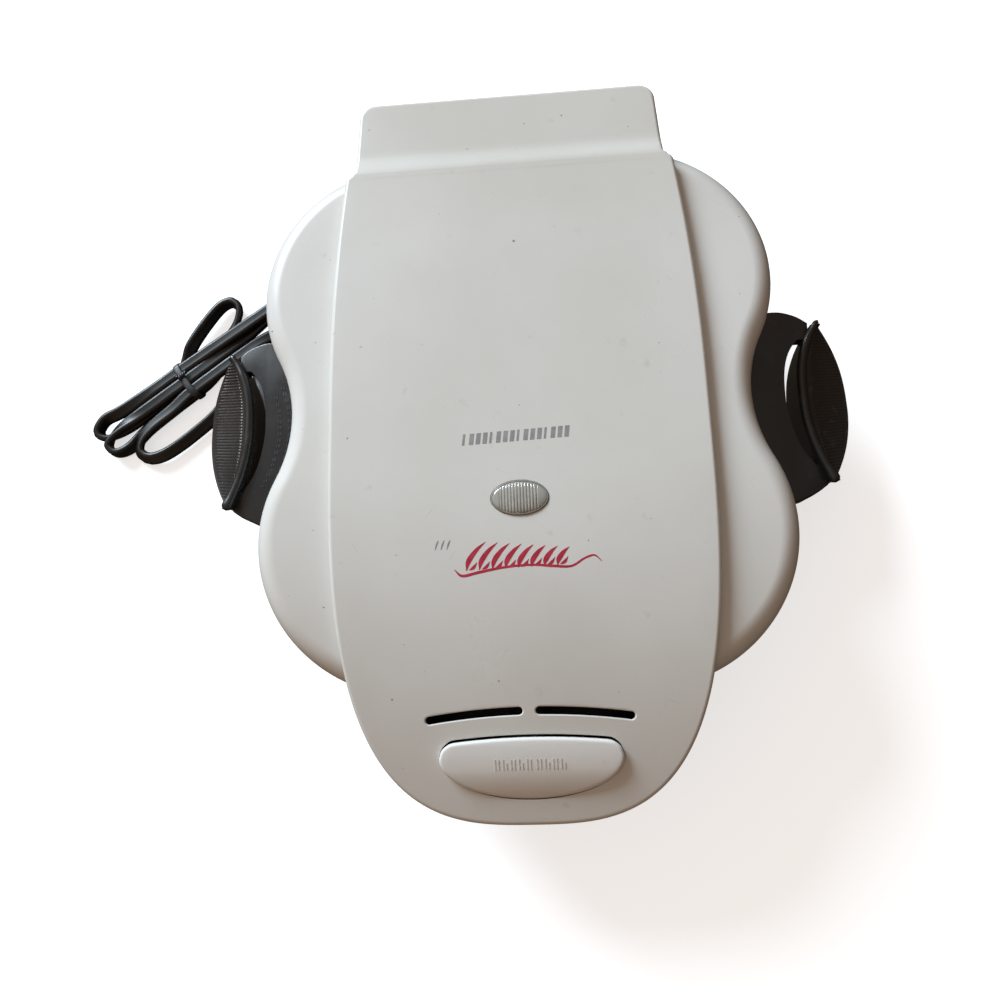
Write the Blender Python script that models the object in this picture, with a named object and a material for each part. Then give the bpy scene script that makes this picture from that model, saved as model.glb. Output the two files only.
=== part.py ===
"""Countertop baker for four pastry shells, closed: base with wells, hinged lid, release button, grips, cord.

Sizes are metres, +Z is up, and the release button faces -Y. Inside this script the Y of every part is
measured from the waist between the front and the back lobes, and ROOT_SHIFT moves the whole model so that
its box is centred on the origin.
"""
import math

import bmesh
import bpy
from mathutils import Matrix, Vector

# ---------------------------------------------------------------- driving dimensions
GAP = 0.0003                    # clearance between touching pieces
ROOT_SHIFT = 0.0141             # waist to the middle of the box, along +Y

LOBE_R = 0.0725                 # four lobes seen from above
LOBE_X = 0.0557
LOBE_Y = 0.0637
WAIST_R = 0.0682                # concave round between a front and a back lobe

LID_RIM = 0.0505                # lower edge of the lid
LOBE_TOP = 0.0910               # flat top of the lobes
COVER_TOP = 0.0972              # flat top of the raised cover
SHOULDER_R = 0.0108             # round between a lobe's top and its wall
LID_WALL = 0.0025
FLAT_Y = -0.036                 # in front of this line the lid's top falls away
FALL = 1.22                     # fall per metre squared in front of FLAT_Y

COVER_W = 0.0899                # greatest half width of the cover
COVER_WIDE_Y = 0.010
COVER_REACH = 0.2052            # from its widest place to its nose
COVER_BACK = (0.0828, 0.124)
COVER_WALL = 0.0022
COVER_EDGE_R = 0.0020
HOOD_BASE = (0.0786, 0.1256)    # rear hood, which covers the hinge
HOOD_END = (0.0768, 0.1585)
HOOD_BACK_Y = 0.1670
HOOD_CORNER_R = 0.0085
HOOD_TOP = 0.0950
HOOD_STEP_Y = (0.124, 0.136)
HOOD_RIM = 0.066

BASE_RIM = 0.0495
BASE_FLOOR = 0.0050
BASE_WALL = 0.0025
HINGE_Y, HINGE_Z = 0.142, 0.050
HINGE_PIN_R = 0.0025

BUTTON_W = 0.0414               # half width
BUTTON_Y = (-0.1552, -0.1639, -0.1827)   # back edge, widest place, front edge
BUTTON_DEPTH = 0.0050
BUTTON_GAP = (0.0006, 0.0012)   # round the sides, and behind, where the button swings back as it's pressed
PIVOT_Y, PIVOT_Z = -0.1800, 0.0690
PIVOT_R = 0.0010
HOOK_TIP_Z = (0.0405, 0.0440)   # latch hook, whose tip stops just short of the catch
HOOK_TIP_Y = -0.1647
CATCH_EDGE_Y = -0.1643
LENS_Y = -0.0478                # oval lens over the lamp
LENS_HALF = (0.0142, 0.0086)

WELL_R = (0.049, 0.040)         # radius at the rim and at the floor
WELL_FLOOR = 0.0290
PLATE_T = 0.0030
PLATE_GAP = 0.0060              # room for the pastry between well and boss

GRIP_Y = 0.0055                 # middle of the side grips
GRIP_HALF = 0.0425
GRIP_SLOT = (0.0063, 0.0345)    # middle and half length of the slot inside a grip's bead
CORD_R = 0.0040                 # round stand-in for the flat cord
SLEEVE_START = (-0.1062, 0.0930, 0.0210)     # strain relief, from the base's wall to the cord's exit
EXIT = (-0.1336, 0.1085, 0.0150)
LEAD_ROUTE = ((-0.1340, 0.1087, 0.0148), (-0.1440, 0.1125, 0.0120), (-0.1530, 0.1110, 0.0085))
HANK_ENDS = ((-0.1560, 0.0950), (-0.2500, 0.0270))
HANK_HALF = 0.0115
HANK_Z = (0.0008, 0.0125)
LOOP_ROUTE = ((-0.2073, 0.0742, 0.0060), (-0.2086, 0.0778, 0.0058), (-0.2042, 0.0845, 0.0056),
              (-0.1970, 0.0930, 0.0056), (-0.1880, 0.1030, 0.0056), (-0.1810, 0.1062, 0.0056),
              (-0.1768, 0.1026, 0.0056), (-0.1772, 0.0986, 0.0056))
TAIL_ROUTE = ((-0.2330, 0.0180, 0.0060), (-0.2300, 0.0110, 0.0050), (-0.2225, 0.0070, 0.0045),
              (-0.2110, 0.0110, 0.0045), (-0.2000, 0.0210, 0.0045), (-0.1885, 0.0315, 0.0050),
              (-0.1800, 0.0410, 0.0054), (-0.1755, 0.0520, 0.0058), (-0.1705, 0.0605, 0.0062),
              (-0.1645, 0.0610, 0.0066), (-0.1610, 0.0540, 0.0070), (-0.1580, 0.0450, 0.0076),
              (-0.1542, 0.0370, 0.0083), (-0.1530, 0.0325, 0.0085), (-0.1530, 0.0294, 0.0085))
PLUG_AT = (-0.1530, 0.0120, 0.0085)

FOOT_PLACES = (("front_left", -0.070, -0.084), ("front_right", 0.070, -0.084),
               ("rear_left", -0.070, 0.092), ("rear_right", 0.070, 0.092))
SCREW_PLACES = (("front_left", -0.050, -0.100), ("front_right", 0.050, -0.100),
                ("rear_left", -0.050, 0.108), ("rear_right", 0.050, 0.108))

COLORS = {
    "white": ((0.60, 0.60, 0.57), 0.42, 0.0),
    "black": ((0.020, 0.020, 0.021), 0.42, 0.0),
    "coated": ((0.035, 0.034, 0.034), 0.38, 0.0),
    "rubber": ((0.018, 0.018, 0.018), 0.75, 0.0),
    "steel": ((0.62, 0.62, 0.62), 0.35, 1.0),
    "aluminium": ((0.75, 0.76, 0.77), 0.40, 1.0),
    "lens": ((0.62, 0.63, 0.62), 0.12, 0.0),
    "lamp": ((0.85, 0.25, 0.08), 0.15, 0.0),
    "ceramic": ((0.82, 0.80, 0.74), 0.60, 0.0),
    "cord": ((0.012, 0.012, 0.012), 0.35, 0.0),
    "brass": ((0.72, 0.55, 0.25), 0.30, 1.0),
}


# ---------------------------------------------------------------- scene helpers
def clear_scene():
    for item in list(bpy.data.objects):
        bpy.data.objects.remove(item, do_unlink=True)


def material(name):
    found = bpy.data.materials.get(name)
    if found:
        return found
    color, roughness, metallic = COLORS[name]
    made = bpy.data.materials.new(name)
    made.use_nodes = True
    shader = made.node_tree.nodes["Principled BSDF"]
    shader.inputs["Base Color"].default_value = (*color, 1.0)
    shader.inputs["Roughness"].default_value = roughness
    shader.inputs["Metallic"].default_value = metallic
    return made


def empty(name, place, parent=None):
    made = bpy.data.objects.new(name, None)
    bpy.context.scene.collection.objects.link(made)
    made.parent = parent
    made.location = place
    return made


def add(name, mesh, finish, frame):
    """Link a mesh given in waist coordinates under the empty `frame`, whose place is frame["at"]."""
    at = Vector(frame["at"])
    mesh.transform(Matrix.Translation(-at))
    mesh.materials.append(material(finish))
    made = bpy.data.objects.new(name, mesh)
    bpy.context.scene.collection.objects.link(made)
    made.parent = frame
    return made


def smooth(made, degrees=35):
    made.data.shade_smooth()
    made.data.set_sharp_from_angle(angle=math.radians(degrees))
    return made


def finish_mesh(name, bm):
    bmesh.ops.recalc_face_normals(bm, faces=bm.faces)
    mesh = bpy.data.meshes.new(name)
    bm.to_mesh(mesh)
    bm.free()
    return mesh


# ---------------------------------------------------------------- outlines
def evenly(points, count):
    """`count` + 1 points spaced evenly along a polyline."""
    lengths = [0.0]
    for a, b in zip(points, points[1:]):
        lengths.append(lengths[-1] + math.dist(a, b))
    spaced, k = [], 0
    for i in range(count + 1):
        want = lengths[-1] * i / count
        while k < len(points) - 2 and lengths[k + 1] < want:
            k += 1
        t = (want - lengths[k]) / (lengths[k + 1] - lengths[k])
        spaced.append(tuple(a + (b - a) * t for a, b in zip(points[k], points[k + 1])))
    return spaced


def arc(center, radius, start, end, count):
    angles = [math.radians(start + (end - start) * i / count) for i in range(count + 1)]
    return [(center[0] + radius * math.cos(a), center[1] + radius * math.sin(a)) for a in angles]


class Outline:
    """A closed outline, the same on both sides of X = 0, whose inside can be filled by rows across it."""

    def __init__(self, front, side, back):
        self.columns = len(front) - 1
        self.rows = len(side) - 1
        left = [(-x, y) for x, y in reversed(side)]
        self.ring = front + side[1:] + list(reversed(back))[1:] + left[1:-1]
        self.normals = []
        count = len(self.ring)
        for i in range(count):
            (x0, y0), (x1, y1) = self.ring[i - 1], self.ring[(i + 1) % count]
            length = math.hypot(x1 - x0, y1 - y0)
            self.normals.append(((y1 - y0) / length, (x0 - x1) / length))

    def loop(self, inset, height):
        """The outline moved inwards by `inset`; `height` is a number or a function of x and y."""
        points = []
        for (x, y), (nx, ny) in zip(self.ring, self.normals):
            px, py = x - nx * inset, y - ny * inset
            points.append((px, py, height(px, py) if callable(height) else height))
        return points


def lobed_outline(inset=0.0, columns=8, lobe_steps=12, waist_steps=6):
    turn = math.degrees(math.atan2(LOBE_Y, waist_center() - LOBE_X))
    radius, waist = LOBE_R - inset, WAIST_R + inset
    side = arc((LOBE_X, -LOBE_Y), radius, -90, turn, lobe_steps)
    side += arc((waist_center(), 0.0), waist, 180 + turn, 180 - turn, waist_steps)[1:]
    side += arc((LOBE_X, LOBE_Y), radius, -turn, 90, lobe_steps)[1:]
    reach = LOBE_Y + radius
    across = [-LOBE_X + 2 * LOBE_X * i / columns for i in range(columns + 1)]
    return Outline([(x, -reach) for x in across], side, [(x, reach) for x in across])


def waist_center():
    return LOBE_X + math.sqrt((LOBE_R + WAIST_R) ** 2 - LOBE_Y ** 2)


def cover_half_width(y):
    """Half width of the raised cover: a flat barrel behind, and a blunt round tongue in front."""
    if y > COVER_WIDE_Y:
        back_x, back_y = COVER_BACK
        return COVER_W - (COVER_W - back_x) * ((y - COVER_WIDE_Y) / (back_y - COVER_WIDE_Y)) ** 2
    forward = min(1.0, (COVER_WIDE_Y - y) / COVER_REACH)
    return COVER_W * (1.0 - forward ** 4) ** (1 / 3)


def cover_nose_y(x):
    return COVER_WIDE_Y - COVER_REACH * (1.0 - (abs(x) / COVER_W) ** 3) ** 0.25


def tongue_side(start_x, end_y, steps):
    """The tongue's right edge from `start_x` on its nose back to `end_y`."""
    dense = []
    for i in range(161):
        y = cover_nose_y(start_x) + (end_y - cover_nose_y(start_x)) * (i / 160) ** 2
        dense.append((cover_half_width(y), y))
    return evenly(dense, steps)


def cover_outline(columns=8, steps=36):
    nose = 0.030
    across = [-nose + 2 * nose * i / columns for i in range(columns + 1)]
    side = tongue_side(nose, COVER_BACK[1], steps)
    side += evenly([HOOD_BASE, HOOD_END], 4)
    corner = (HOOD_END[0] - HOOD_CORNER_R, HOOD_BACK_Y - HOOD_CORNER_R)
    side += arc(corner, HOOD_CORNER_R, 0, 90, 4)[1:]
    back_x = corner[0]
    back = [(-back_x + 2 * back_x * i / columns, HOOD_BACK_Y) for i in range(columns + 1)]
    return Outline([(x, cover_nose_y(x)) for x in across], side, back)


# ---------------------------------------------------------------- heights
def fall(y):
    return FALL * max(0.0, FLAT_Y - y) ** 2


def lobe_height(x, y):
    return LOBE_TOP - fall(y)


def cover_height(x, y):
    start, end = HOOD_STEP_Y
    t = min(1.0, max(0.0, (y - start) / (end - start)))
    return COVER_TOP - (COVER_TOP - HOOD_TOP) * t * t * (3 - 2 * t) - fall(y)


def lobe_depth(x, y):
    """How far a point near the front or the back lies inside the lobed outline; negative outside."""
    if abs(y) < LOBE_Y:
        return LOBE_R
    if abs(x) < LOBE_X:
        return LOBE_Y + LOBE_R - abs(y)
    return LOBE_R - math.hypot(abs(x) - LOBE_X, abs(y) - LOBE_Y)


def cover_rim(x, y):
    """Lower edge of the cover: just above the lobes, and further down where it overhangs them."""
    if lobe_depth(x, y) > -0.006:
        return min(lobe_height(x, y) + GAP, cover_height(x, y) - COVER_EDGE_R - 0.0005)
    return HOOD_RIM if y > 0 else LID_RIM + GAP


def lowered(height, amount):
    return lambda x, y: height(x, y) - amount


# ---------------------------------------------------------------- solids
def skin(name, outline, loops, first_cap, last_cap):
    """A closed mesh through equal loops. A cap is None for a flat face, or a height function whose rows
    fill the loop."""
    bm = bmesh.new()
    rings = [[bm.verts.new(point) for point in loop] for loop in loops]
    count = len(rings[0])
    for low, high in zip(rings, rings[1:]):
        for i in range(count):
            j = (i + 1) % count
            bm.faces.new((low[i], low[j], high[j], high[i]))
    for ring, cap in ((rings[0], first_cap), (rings[-1], last_cap)):
        if cap is None:
            bm.faces.new(ring)
        else:
            fill_rows(bm, outline, ring, cap)
    return finish_mesh(name, bm)


def fill_rows(bm, outline, ring, height):
    columns, rows = outline.columns, outline.rows
    total = len(ring)
    grid = [[None] * (rows + 1) for _ in range(columns + 1)]
    for i in range(columns + 1):
        grid[i][0] = ring[i]
        grid[i][rows] = ring[columns + rows + (columns - i)]
    for j in range(rows + 1):
        grid[columns][j] = ring[columns + j]
        grid[0][j] = ring[(2 * columns + rows + (rows - j)) % total]
    for j in range(1, rows):
        left, right = grid[0][j].co, grid[columns][j].co
        for i in range(1, columns):
            x, y, _ = left.lerp(right, i / columns)
            grid[i][j] = bm.verts.new((x, y, height(x, y)))
    for i in range(columns):
        for j in range(rows):
            bm.faces.new((grid[i][j], grid[i + 1][j], grid[i + 1][j + 1], grid[i][j + 1]))


def shoulder(outline, height, radius, steps, start=0.0):
    """Loops that turn from an upright wall into the top surface."""
    loops = []
    for i in range(steps + 1):
        angle = math.radians(90 * i / steps)
        inset = start + radius * (1 - math.cos(angle))
        loops.append(outline.loop(inset, lowered(height, radius * (1 - math.sin(angle)))))
    return loops


def loft(name, rings):
    """A closed mesh through equal rings with flat ends."""
    bm = bmesh.new()
    made = [[bm.verts.new(point) for point in ring] for ring in rings]
    count = len(made[0])
    for low, high in zip(made, made[1:]):
        for i in range(count):
            j = (i + 1) % count
            bm.faces.new((low[i], low[j], high[j], high[i]))
    bm.faces.new(made[0])
    bm.faces.new(made[-1])
    return finish_mesh(name, bm)


def turned(name, profile, steps, place, axis="Z"):
    """A solid of revolution; `profile` is a list of (radius, distance along the axis) pairs."""
    rings = []
    for radius, along in profile:
        ring = []
        for i in range(steps):
            angle = 2 * math.pi * (i + 0.5) / steps
            a, b = radius * math.cos(angle), radius * math.sin(angle)
            point = {"Z": (a, b, along), "X": (along, a, b), "Y": (a, along, b)}[axis]
            ring.append(tuple(p + q for p, q in zip(point, place)))
        rings.append(ring)
    return loft(name, rings)


def box_mesh(name, low, high):
    corners = [(low[0], low[1]), (high[0], low[1]), (high[0], high[1]), (low[0], high[1])]
    return loft(name, [[(x, y, z) for x, y in corners] for z in (low[2], high[2])])


def prism(name, points, low, high):
    return loft(name, [[(x, y, z) for x, y in points] for z in (low, high)])


def side_prism(name, points, low, high):
    """A solid pushed out along X from an outline of (y, z) points."""
    return loft(name, [[(x, y, z) for y, z in points] for x in (low, high)])


def combine(made, mesh, operation):
    """Union or cut `made` with a mesh in waist coordinates, then apply it."""
    mesh.transform(Matrix.Translation(-Vector(made.parent["at"])))
    tool = bpy.data.objects.new("tool", mesh)
    bpy.context.scene.collection.objects.link(tool)
    tool.parent = made.parent
    tool.hide_render = True
    tool.display_type = "WIRE"
    change = made.modifiers.new("change", "BOOLEAN")
    change.operation = operation
    change.object = tool
    bpy.context.view_layer.update()
    evaluated = made.evaluated_get(bpy.context.evaluated_depsgraph_get())
    result = bpy.data.meshes.new_from_object(evaluated)
    made.modifiers.clear()
    made.data = result
    bpy.data.objects.remove(tool, do_unlink=True)


def tube(name, points, radius, finish, frame, sides=2):
    """A round bar along a list of points, as a curve with filled ends."""
    curve = bpy.data.curves.new(name, "CURVE")
    curve.dimensions = "3D"
    curve.bevel_depth = radius
    curve.bevel_resolution = sides
    curve.use_fill_caps = True
    spline = curve.splines.new("POLY")
    spline.points.add(len(points) - 1)
    at = frame["at"]
    for point, (x, y, z) in zip(spline.points, points):
        point.co = (x - at[0], y - at[1], z - at[2], 1.0)
    curve.materials.append(material(finish))
    made = bpy.data.objects.new(name, curve)
    bpy.context.scene.collection.objects.link(made)
    made.parent = frame
    return made


def smooth_route(route, count):
    """`count` + 1 evenly spaced points on one smooth curve through the route's points."""
    points = [Vector(p) for p in route]
    points = [points[0] * 2 - points[1]] + points + [points[-1] * 2 - points[-2]]
    dense = []
    for p0, p1, p2, p3 in zip(points, points[1:], points[2:], points[3:]):
        for i in range(16):
            t = i / 16
            dense.append(0.5 * (2 * p1 + (p2 - p0) * t + (2 * p0 - 5 * p1 + 4 * p2 - p3) * t * t
                                + (3 * p1 - p0 - 3 * p2 + p3) * t ** 3))
    dense.append(points[-2])
    return evenly([tuple(p) for p in dense], count)


# ---------------------------------------------------------------- lid
def make_lid_shell(lid):
    outline = lobed_outline()
    outer = shoulder(outline, lobe_height, SHOULDER_R, 4)
    inner = shoulder(outline, lowered(lobe_height, LID_WALL), SHOULDER_R - LID_WALL, 3, LID_WALL)
    loops = list(reversed(inner))
    loops += [outline.loop(LID_WALL, LID_RIM), outline.loop(0.0, LID_RIM)]
    loops += outer
    mesh = skin("lid_shell", outline, loops, lowered(lobe_height, LID_WALL), lobe_height)
    shell = add("lid_shell", mesh, "white", lid)
    hole = turned("hole", [(0.0050, 0.080), (0.0050, 0.095)], 12, (0.0, LENS_Y, 0.0))
    combine(shell, hole, "DIFFERENCE")
    return smooth(shell)


def oval(half_x, half_y, y, steps):
    angles = [2 * math.pi * i / steps for i in range(steps)]
    return [(half_x * math.cos(a), y + half_y * math.sin(a)) for a in angles]


def slot_outline(side):
    """A vent slot: a band along an arc that bulges to the back, with round ends."""
    arc_r, back_y, half = 0.310, -0.1435, 0.0018
    start, end = (0.0047, 0.0455)
    middles = [side * (start + (end - start) * i / 6) for i in range(7)]
    if side < 0:
        middles.reverse()
    line = [(x, back_y - x * x / (2 * arc_r)) for x in middles]
    lower = [(x, y - half) for x, y in line]
    upper = [(x, y + half) for x, y in reversed(line)]
    (x1, y1), (x0, y0) = line[-1], line[0]
    return lower + [(x1 + half, y1)] + upper + [(x0 - half, y0)]


def button_outline(grow=0.0, behind=0.0, columns=8, steps=6):
    """A half moon with an almost straight back edge, larger by `grow` all round and `behind` at the back."""
    back, widest, front = BUTTON_Y
    half, depth = BUTTON_W + grow, widest - front + grow
    corner = [(0.0360, -0.1578 + behind), (0.0390 + grow, -0.1592 + behind / 2), (half, widest)]
    curve = [(half * x, widest + depth * y) for x, y in arc((0.0, 0.0), 1.0, 0, -60, 12)]
    side = evenly(list(reversed(curve)), steps) + list(reversed(corner))[1:]
    front_x, back_x = side[0][0], side[-1][0]
    front_row, back_row = [], []
    for i in range(columns + 1):
        t = -1 + 2 * i / columns
        front_row.append((front_x * t, widest - depth * math.sqrt(1 - (front_x * t / half) ** 2)))
        back_row.append((back_x * t, back + behind - (back + behind - side[-1][1]) * t * t))
    return Outline(front_row, side, back_row)


def make_top_cover(lid):
    outline = cover_outline()
    outer = shoulder(outline, cover_height, COVER_EDGE_R, 2)
    inner_top = outline.loop(COVER_WALL, lowered(cover_height, COVER_WALL))
    rim = [cover_rim(x, y) for x, y in outline.ring]
    inner_rim = [(x, y, z) for (x, y, _), z in zip(outline.loop(COVER_WALL, 0.0), rim)]
    outer_rim = [(x, y, z) for (x, y, _), z in zip(outline.loop(0.0, 0.0), rim)]
    loops = [inner_top, inner_rim, outer_rim] + outer
    mesh = skin("top_cover", outline, loops, lowered(cover_height, COVER_WALL), cover_height)
    cover = add("top_cover", mesh, "white", lid)
    for side in (-1, 1):
        lug = [(PIVOT_Y - 0.003, PIVOT_Z + 0.0012), (PIVOT_Y - 0.003, PIVOT_Z - 0.001),
               (PIVOT_Y, PIVOT_Z - 0.0028), (PIVOT_Y + 0.003, PIVOT_Z - 0.001),
               (PIVOT_Y + 0.003, PIVOT_Z + 0.0030)]
        low, high = sorted((side * 0.0250, side * 0.0285))
        combine(cover, side_prism("lug", lug, low, high), "UNION")
    bore = turned("bore", [(PIVOT_R + GAP, -0.0300), (PIVOT_R + GAP, 0.0300)], 10, (0, PIVOT_Y, PIVOT_Z), "X")
    combine(cover, bore, "DIFFERENCE")
    opening = button_outline(*BUTTON_GAP)
    combine(cover, loft("opening", [opening.loop(0, 0.066), opening.loop(0, 0.100)]), "DIFFERENCE")
    lens = oval(LENS_HALF[0] + GAP, LENS_HALF[1] + GAP, LENS_Y, 24)
    combine(cover, prism("lens", lens, 0.093, 0.100), "DIFFERENCE")
    for side in (-1, 1):
        combine(cover, prism("slot", slot_outline(side), 0.070, 0.100), "DIFFERENCE")
    return smooth(cover)


def make_lens(lid):
    rings = []
    for scale, z in ((1.0, 0.0932), (1.0, 0.0970), (0.90, 0.0982), (0.60, 0.0988)):
        points = oval(LENS_HALF[0] * scale, LENS_HALF[1] * scale, LENS_Y, 24)
        rings.append([(x, y, z) for x, y in points])
    return smooth(add("indicator_lens", loft("indicator_lens", rings), "lens", lid))


def make_lamp(lid):
    profile = [(0.0020, 0.0755), (0.0036, 0.0775), (0.0036, 0.0890), (0.0022, 0.0915)]
    mesh = turned("indicator_lamp", profile, 12, (0.0, LENS_Y, 0.0))
    smooth(add("indicator_lamp", mesh, "lamp", lid))
    route = [(0.0, LENS_Y, 0.0751), (0.0, LENS_Y, 0.0735), (0.0, LENS_Y + 0.004, 0.0712),
             (0.0, -0.030, 0.0700), (0.0, -0.016, 0.0700), (0.0, -0.011, 0.0698)]
    tube("lamp_leads", smooth_route(route, 12), 0.0011, "rubber", lid, 2)


def make_upper_plate(lid):
    outline = lobed_outline()
    low, high = LID_RIM - 0.0002, LID_RIM - 0.0002 + PLATE_T
    loops = [outline.loop(0.0042, low), outline.loop(0.0042, high)]
    plate = add("upper_plate", skin("upper_plate", outline, loops, None, None), "coated", lid)
    floor = WELL_FLOOR + PLATE_T + PLATE_GAP - 0.0020
    rim_r, floor_r = WELL_R[0] - PLATE_GAP, WELL_R[1] - PLATE_GAP + 0.001
    for x in (-LOBE_X, LOBE_X):
        for y in (-LOBE_Y, LOBE_Y):
            boss = [(floor_r, floor), (rim_r, low + 0.0010), (rim_r, high - 0.0005)]
            combine(plate, turned("boss", boss, 20, (x, y, 0.0)), "UNION")
            hollow = [(floor_r - 0.0025, floor + PLATE_T), (rim_r - 0.0025, high + 0.001)]
            combine(plate, turned("hollow", hollow, 20, (x, y, 0.0)), "DIFFERENCE")
    return smooth(plate, 30)


def element_route(half_x, half_y, z, corner):
    """A rounded rectangle, open at the middle of its back side, with two ends that turn towards +Y."""
    right = [(0.012, half_y + 0.012), (0.012, half_y + 0.004)]
    right += arc((0.016, half_y + 0.004), 0.004, 180, 270, 3)[1:]
    right += arc((half_x - corner, half_y - corner), corner, 90, 0, 5)
    right += arc((half_x - corner, -half_y + corner), corner, 0, -90, 5)
    left = [(-x, y) for x, y in reversed(right)]
    return [(x, y, z) for x, y in right + left]


def make_lid_inside(lid):
    tube("upper_element", element_route(0.056, 0.064, 0.0572, 0.030), 0.0030, "steel", lid, 2)
    outline = lobed_outline(lobe_steps=8, waist_steps=4)
    loops = [outline.loop(0.0095, 0.0655), outline.loop(0.0095, 0.0663)]
    mesh = skin("upper_reflector", outline, loops, None, None)
    add("upper_reflector", mesh, "aluminium", lid)
    profile = [(0.0080, 0.0538), (0.0080, 0.0600), (0.0055, 0.0602), (0.0055, 0.0640)]
    smooth(add("thermostat", turned("thermostat", profile, 14, (0.0, 0.0, 0.0)), "ceramic", lid))
    fuse = [(0.0012, -0.012), (0.0022, -0.009), (0.0022, 0.009), (0.0012, 0.012)]
    mesh = turned("thermal_fuse", fuse, 8, (0.0, 0.022, 0.0562), "X")
    smooth(add("thermal_fuse", mesh, "brass", lid))


def make_hinge_arms(lid):
    """Two arms behind the lid's rear wall, each ending in an eye around the hinge pin."""
    for label, side in (("left", -1), ("right", 1)):
        eye = arc((HINGE_Y, HINGE_Z), 0.0052, -180, 20, 6)
        front = LOBE_Y + LOBE_R + GAP
        outline = [(front, 0.0610), (front, HINGE_Z + 0.004)] + eye[1:] + [(0.1468, 0.0580), (0.1420, 0.0610)]
        low, high = sorted((side * 0.0400, side * 0.0480))
        name = "hinge_arm_" + label
        arm = add(name, side_prism(name, outline, low, high), "steel", lid)
        bore = turned("bore", [(HINGE_PIN_R + GAP, low - 0.001), (HINGE_PIN_R + GAP, high + 0.001)], 14,
                      (0.0, HINGE_Y, HINGE_Z), "X")
        combine(arm, bore, "DIFFERENCE")


# ---------------------------------------------------------------- release button
def button_height(x, y):
    """The button stands proud at its back edge and runs into the cover at its front edge."""
    back, _, front = BUTTON_Y
    along = (y - front) / (back - front)
    return cover_height(x, y) + 0.0004 + 0.0022 * max(0.0, min(1.0, along))


def make_button(button):
    outline = button_outline()
    bottom = lowered(button_height, BUTTON_DEPTH)
    edge = shoulder(outline, button_height, 0.0014, 2)
    loops = [outline.loop(0.0, bottom)] + edge
    mesh = skin("release_button", outline, loops, bottom, button_height)
    made = add("release_button", mesh, "white", button)
    for side in (-1, 1):
        lug = [(PIVOT_Y - 0.0015, PIVOT_Z), (PIVOT_Y - 0.0012, PIVOT_Z - 0.0020), (PIVOT_Y, PIVOT_Z - 0.0028),
               (PIVOT_Y + 0.0020, PIVOT_Z - 0.0020), (PIVOT_Y + 0.0040, PIVOT_Z + 0.0020)]
        low, high = sorted((side * 0.0130, side * 0.0170))
        combine(made, side_prism("lug", lug, low, high), "UNION")
    bore = turned("bore", [(PIVOT_R + GAP, -0.030), (PIVOT_R + GAP, 0.030)], 10, (0, PIVOT_Y, PIVOT_Z), "X")
    combine(made, bore, "DIFFERENCE")
    return smooth(made, 40)


def make_hook(button):
    """A flat steel hook that hangs from the button and points back towards the catch."""
    def under(y):
        return button_height(0.0, y) - BUTTON_DEPTH - GAP

    low, high = HOOK_TIP_Z
    outline = [(-0.1708, under(-0.1708)), (-0.1708, low), (HOOK_TIP_Y, low + 0.0012), (HOOK_TIP_Y, high),
               (-0.1686, high), (-0.1686, under(-0.1686) - 0.0020), (-0.1610, under(-0.1610) - 0.0018),
               (-0.1610, under(-0.1610))]
    add("latch_hook", side_prism("latch_hook", outline, -0.0080, 0.0080), "steel", button)


def make_latch_spring(lid):
    """A leaf on the lid's front wall that reaches forward under the button's back edge, drawn bent down."""
    foot_y = -(LOBE_Y + LOBE_R) - GAP
    t = 0.0008
    outline = [(foot_y, 0.0560), (foot_y, 0.0665), (foot_y - 0.0027, 0.0697), (-0.1480, 0.0722),
               (-0.1585, 0.0736), (-0.1585, 0.0736 - t), (-0.1480, 0.0722 - t), (foot_y - 0.0033, 0.0697 - t),
               (foot_y - t, 0.0662), (foot_y - t, 0.0560)]
    add("latch_spring", side_prism("latch_spring", outline, -0.0060, 0.0060), "steel", lid)


def make_button_pin(lid):
    profile = [(PIVOT_R, -0.0288), (PIVOT_R, 0.0288)]
    mesh = turned("button_pin", profile, 10, (0.0, PIVOT_Y, PIVOT_Z), "X")
    smooth(add("button_pin", mesh, "steel", lid))


# ---------------------------------------------------------------- base
def make_base_shell(base):
    outline = lobed_outline()
    outer = [(0.0150, BASE_FLOOR), (0.0125, BASE_FLOOR + 0.0010), (0.0105, BASE_FLOOR + 0.0035),
             (0.0045, 0.0260), (0.0015, 0.0400), (0.0010, BASE_RIM)]
    inner = [(0.0035, BASE_RIM), (0.0042, 0.0400), (0.0075, 0.0260), (0.0140, BASE_FLOOR + BASE_WALL)]
    loops = [outline.loop(inset, z) for inset, z in outer + inner]
    shell = add("base_shell", skin("base_shell", outline, loops, None, None), "black", base)
    for x in (-0.030, -0.010, 0.010, 0.030):
        corners = [(x - 0.003, -0.045), (x + 0.003, -0.045), (x + 0.003, 0.045), (x - 0.003, 0.045)]
        vent = prism("vent", corners, 0.003, 0.009)
        combine(shell, vent, "DIFFERENCE")
    return smooth(shell)


def nose_ring(half, reach, z):
    """One level of the latch housing: `half` is its half width and `reach` its front."""
    back_y = -(LOBE_Y + LOBE_R + 0.0004)
    points = [(0.0560, back_y)]
    for i in range(9):
        angle = math.radians(90 * i / 8)
        x = half * math.cos(angle) ** 0.6 if i < 8 else 0.0
        y = back_y - 0.006 + (reach - back_y + 0.006) * math.sin(angle) ** 0.9
        points.append((x, y))
    mirrored = [(-x, y) for x, y in reversed(points[:-1])]
    return [(x, y, z) for x, y in points + mirrored]


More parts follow.
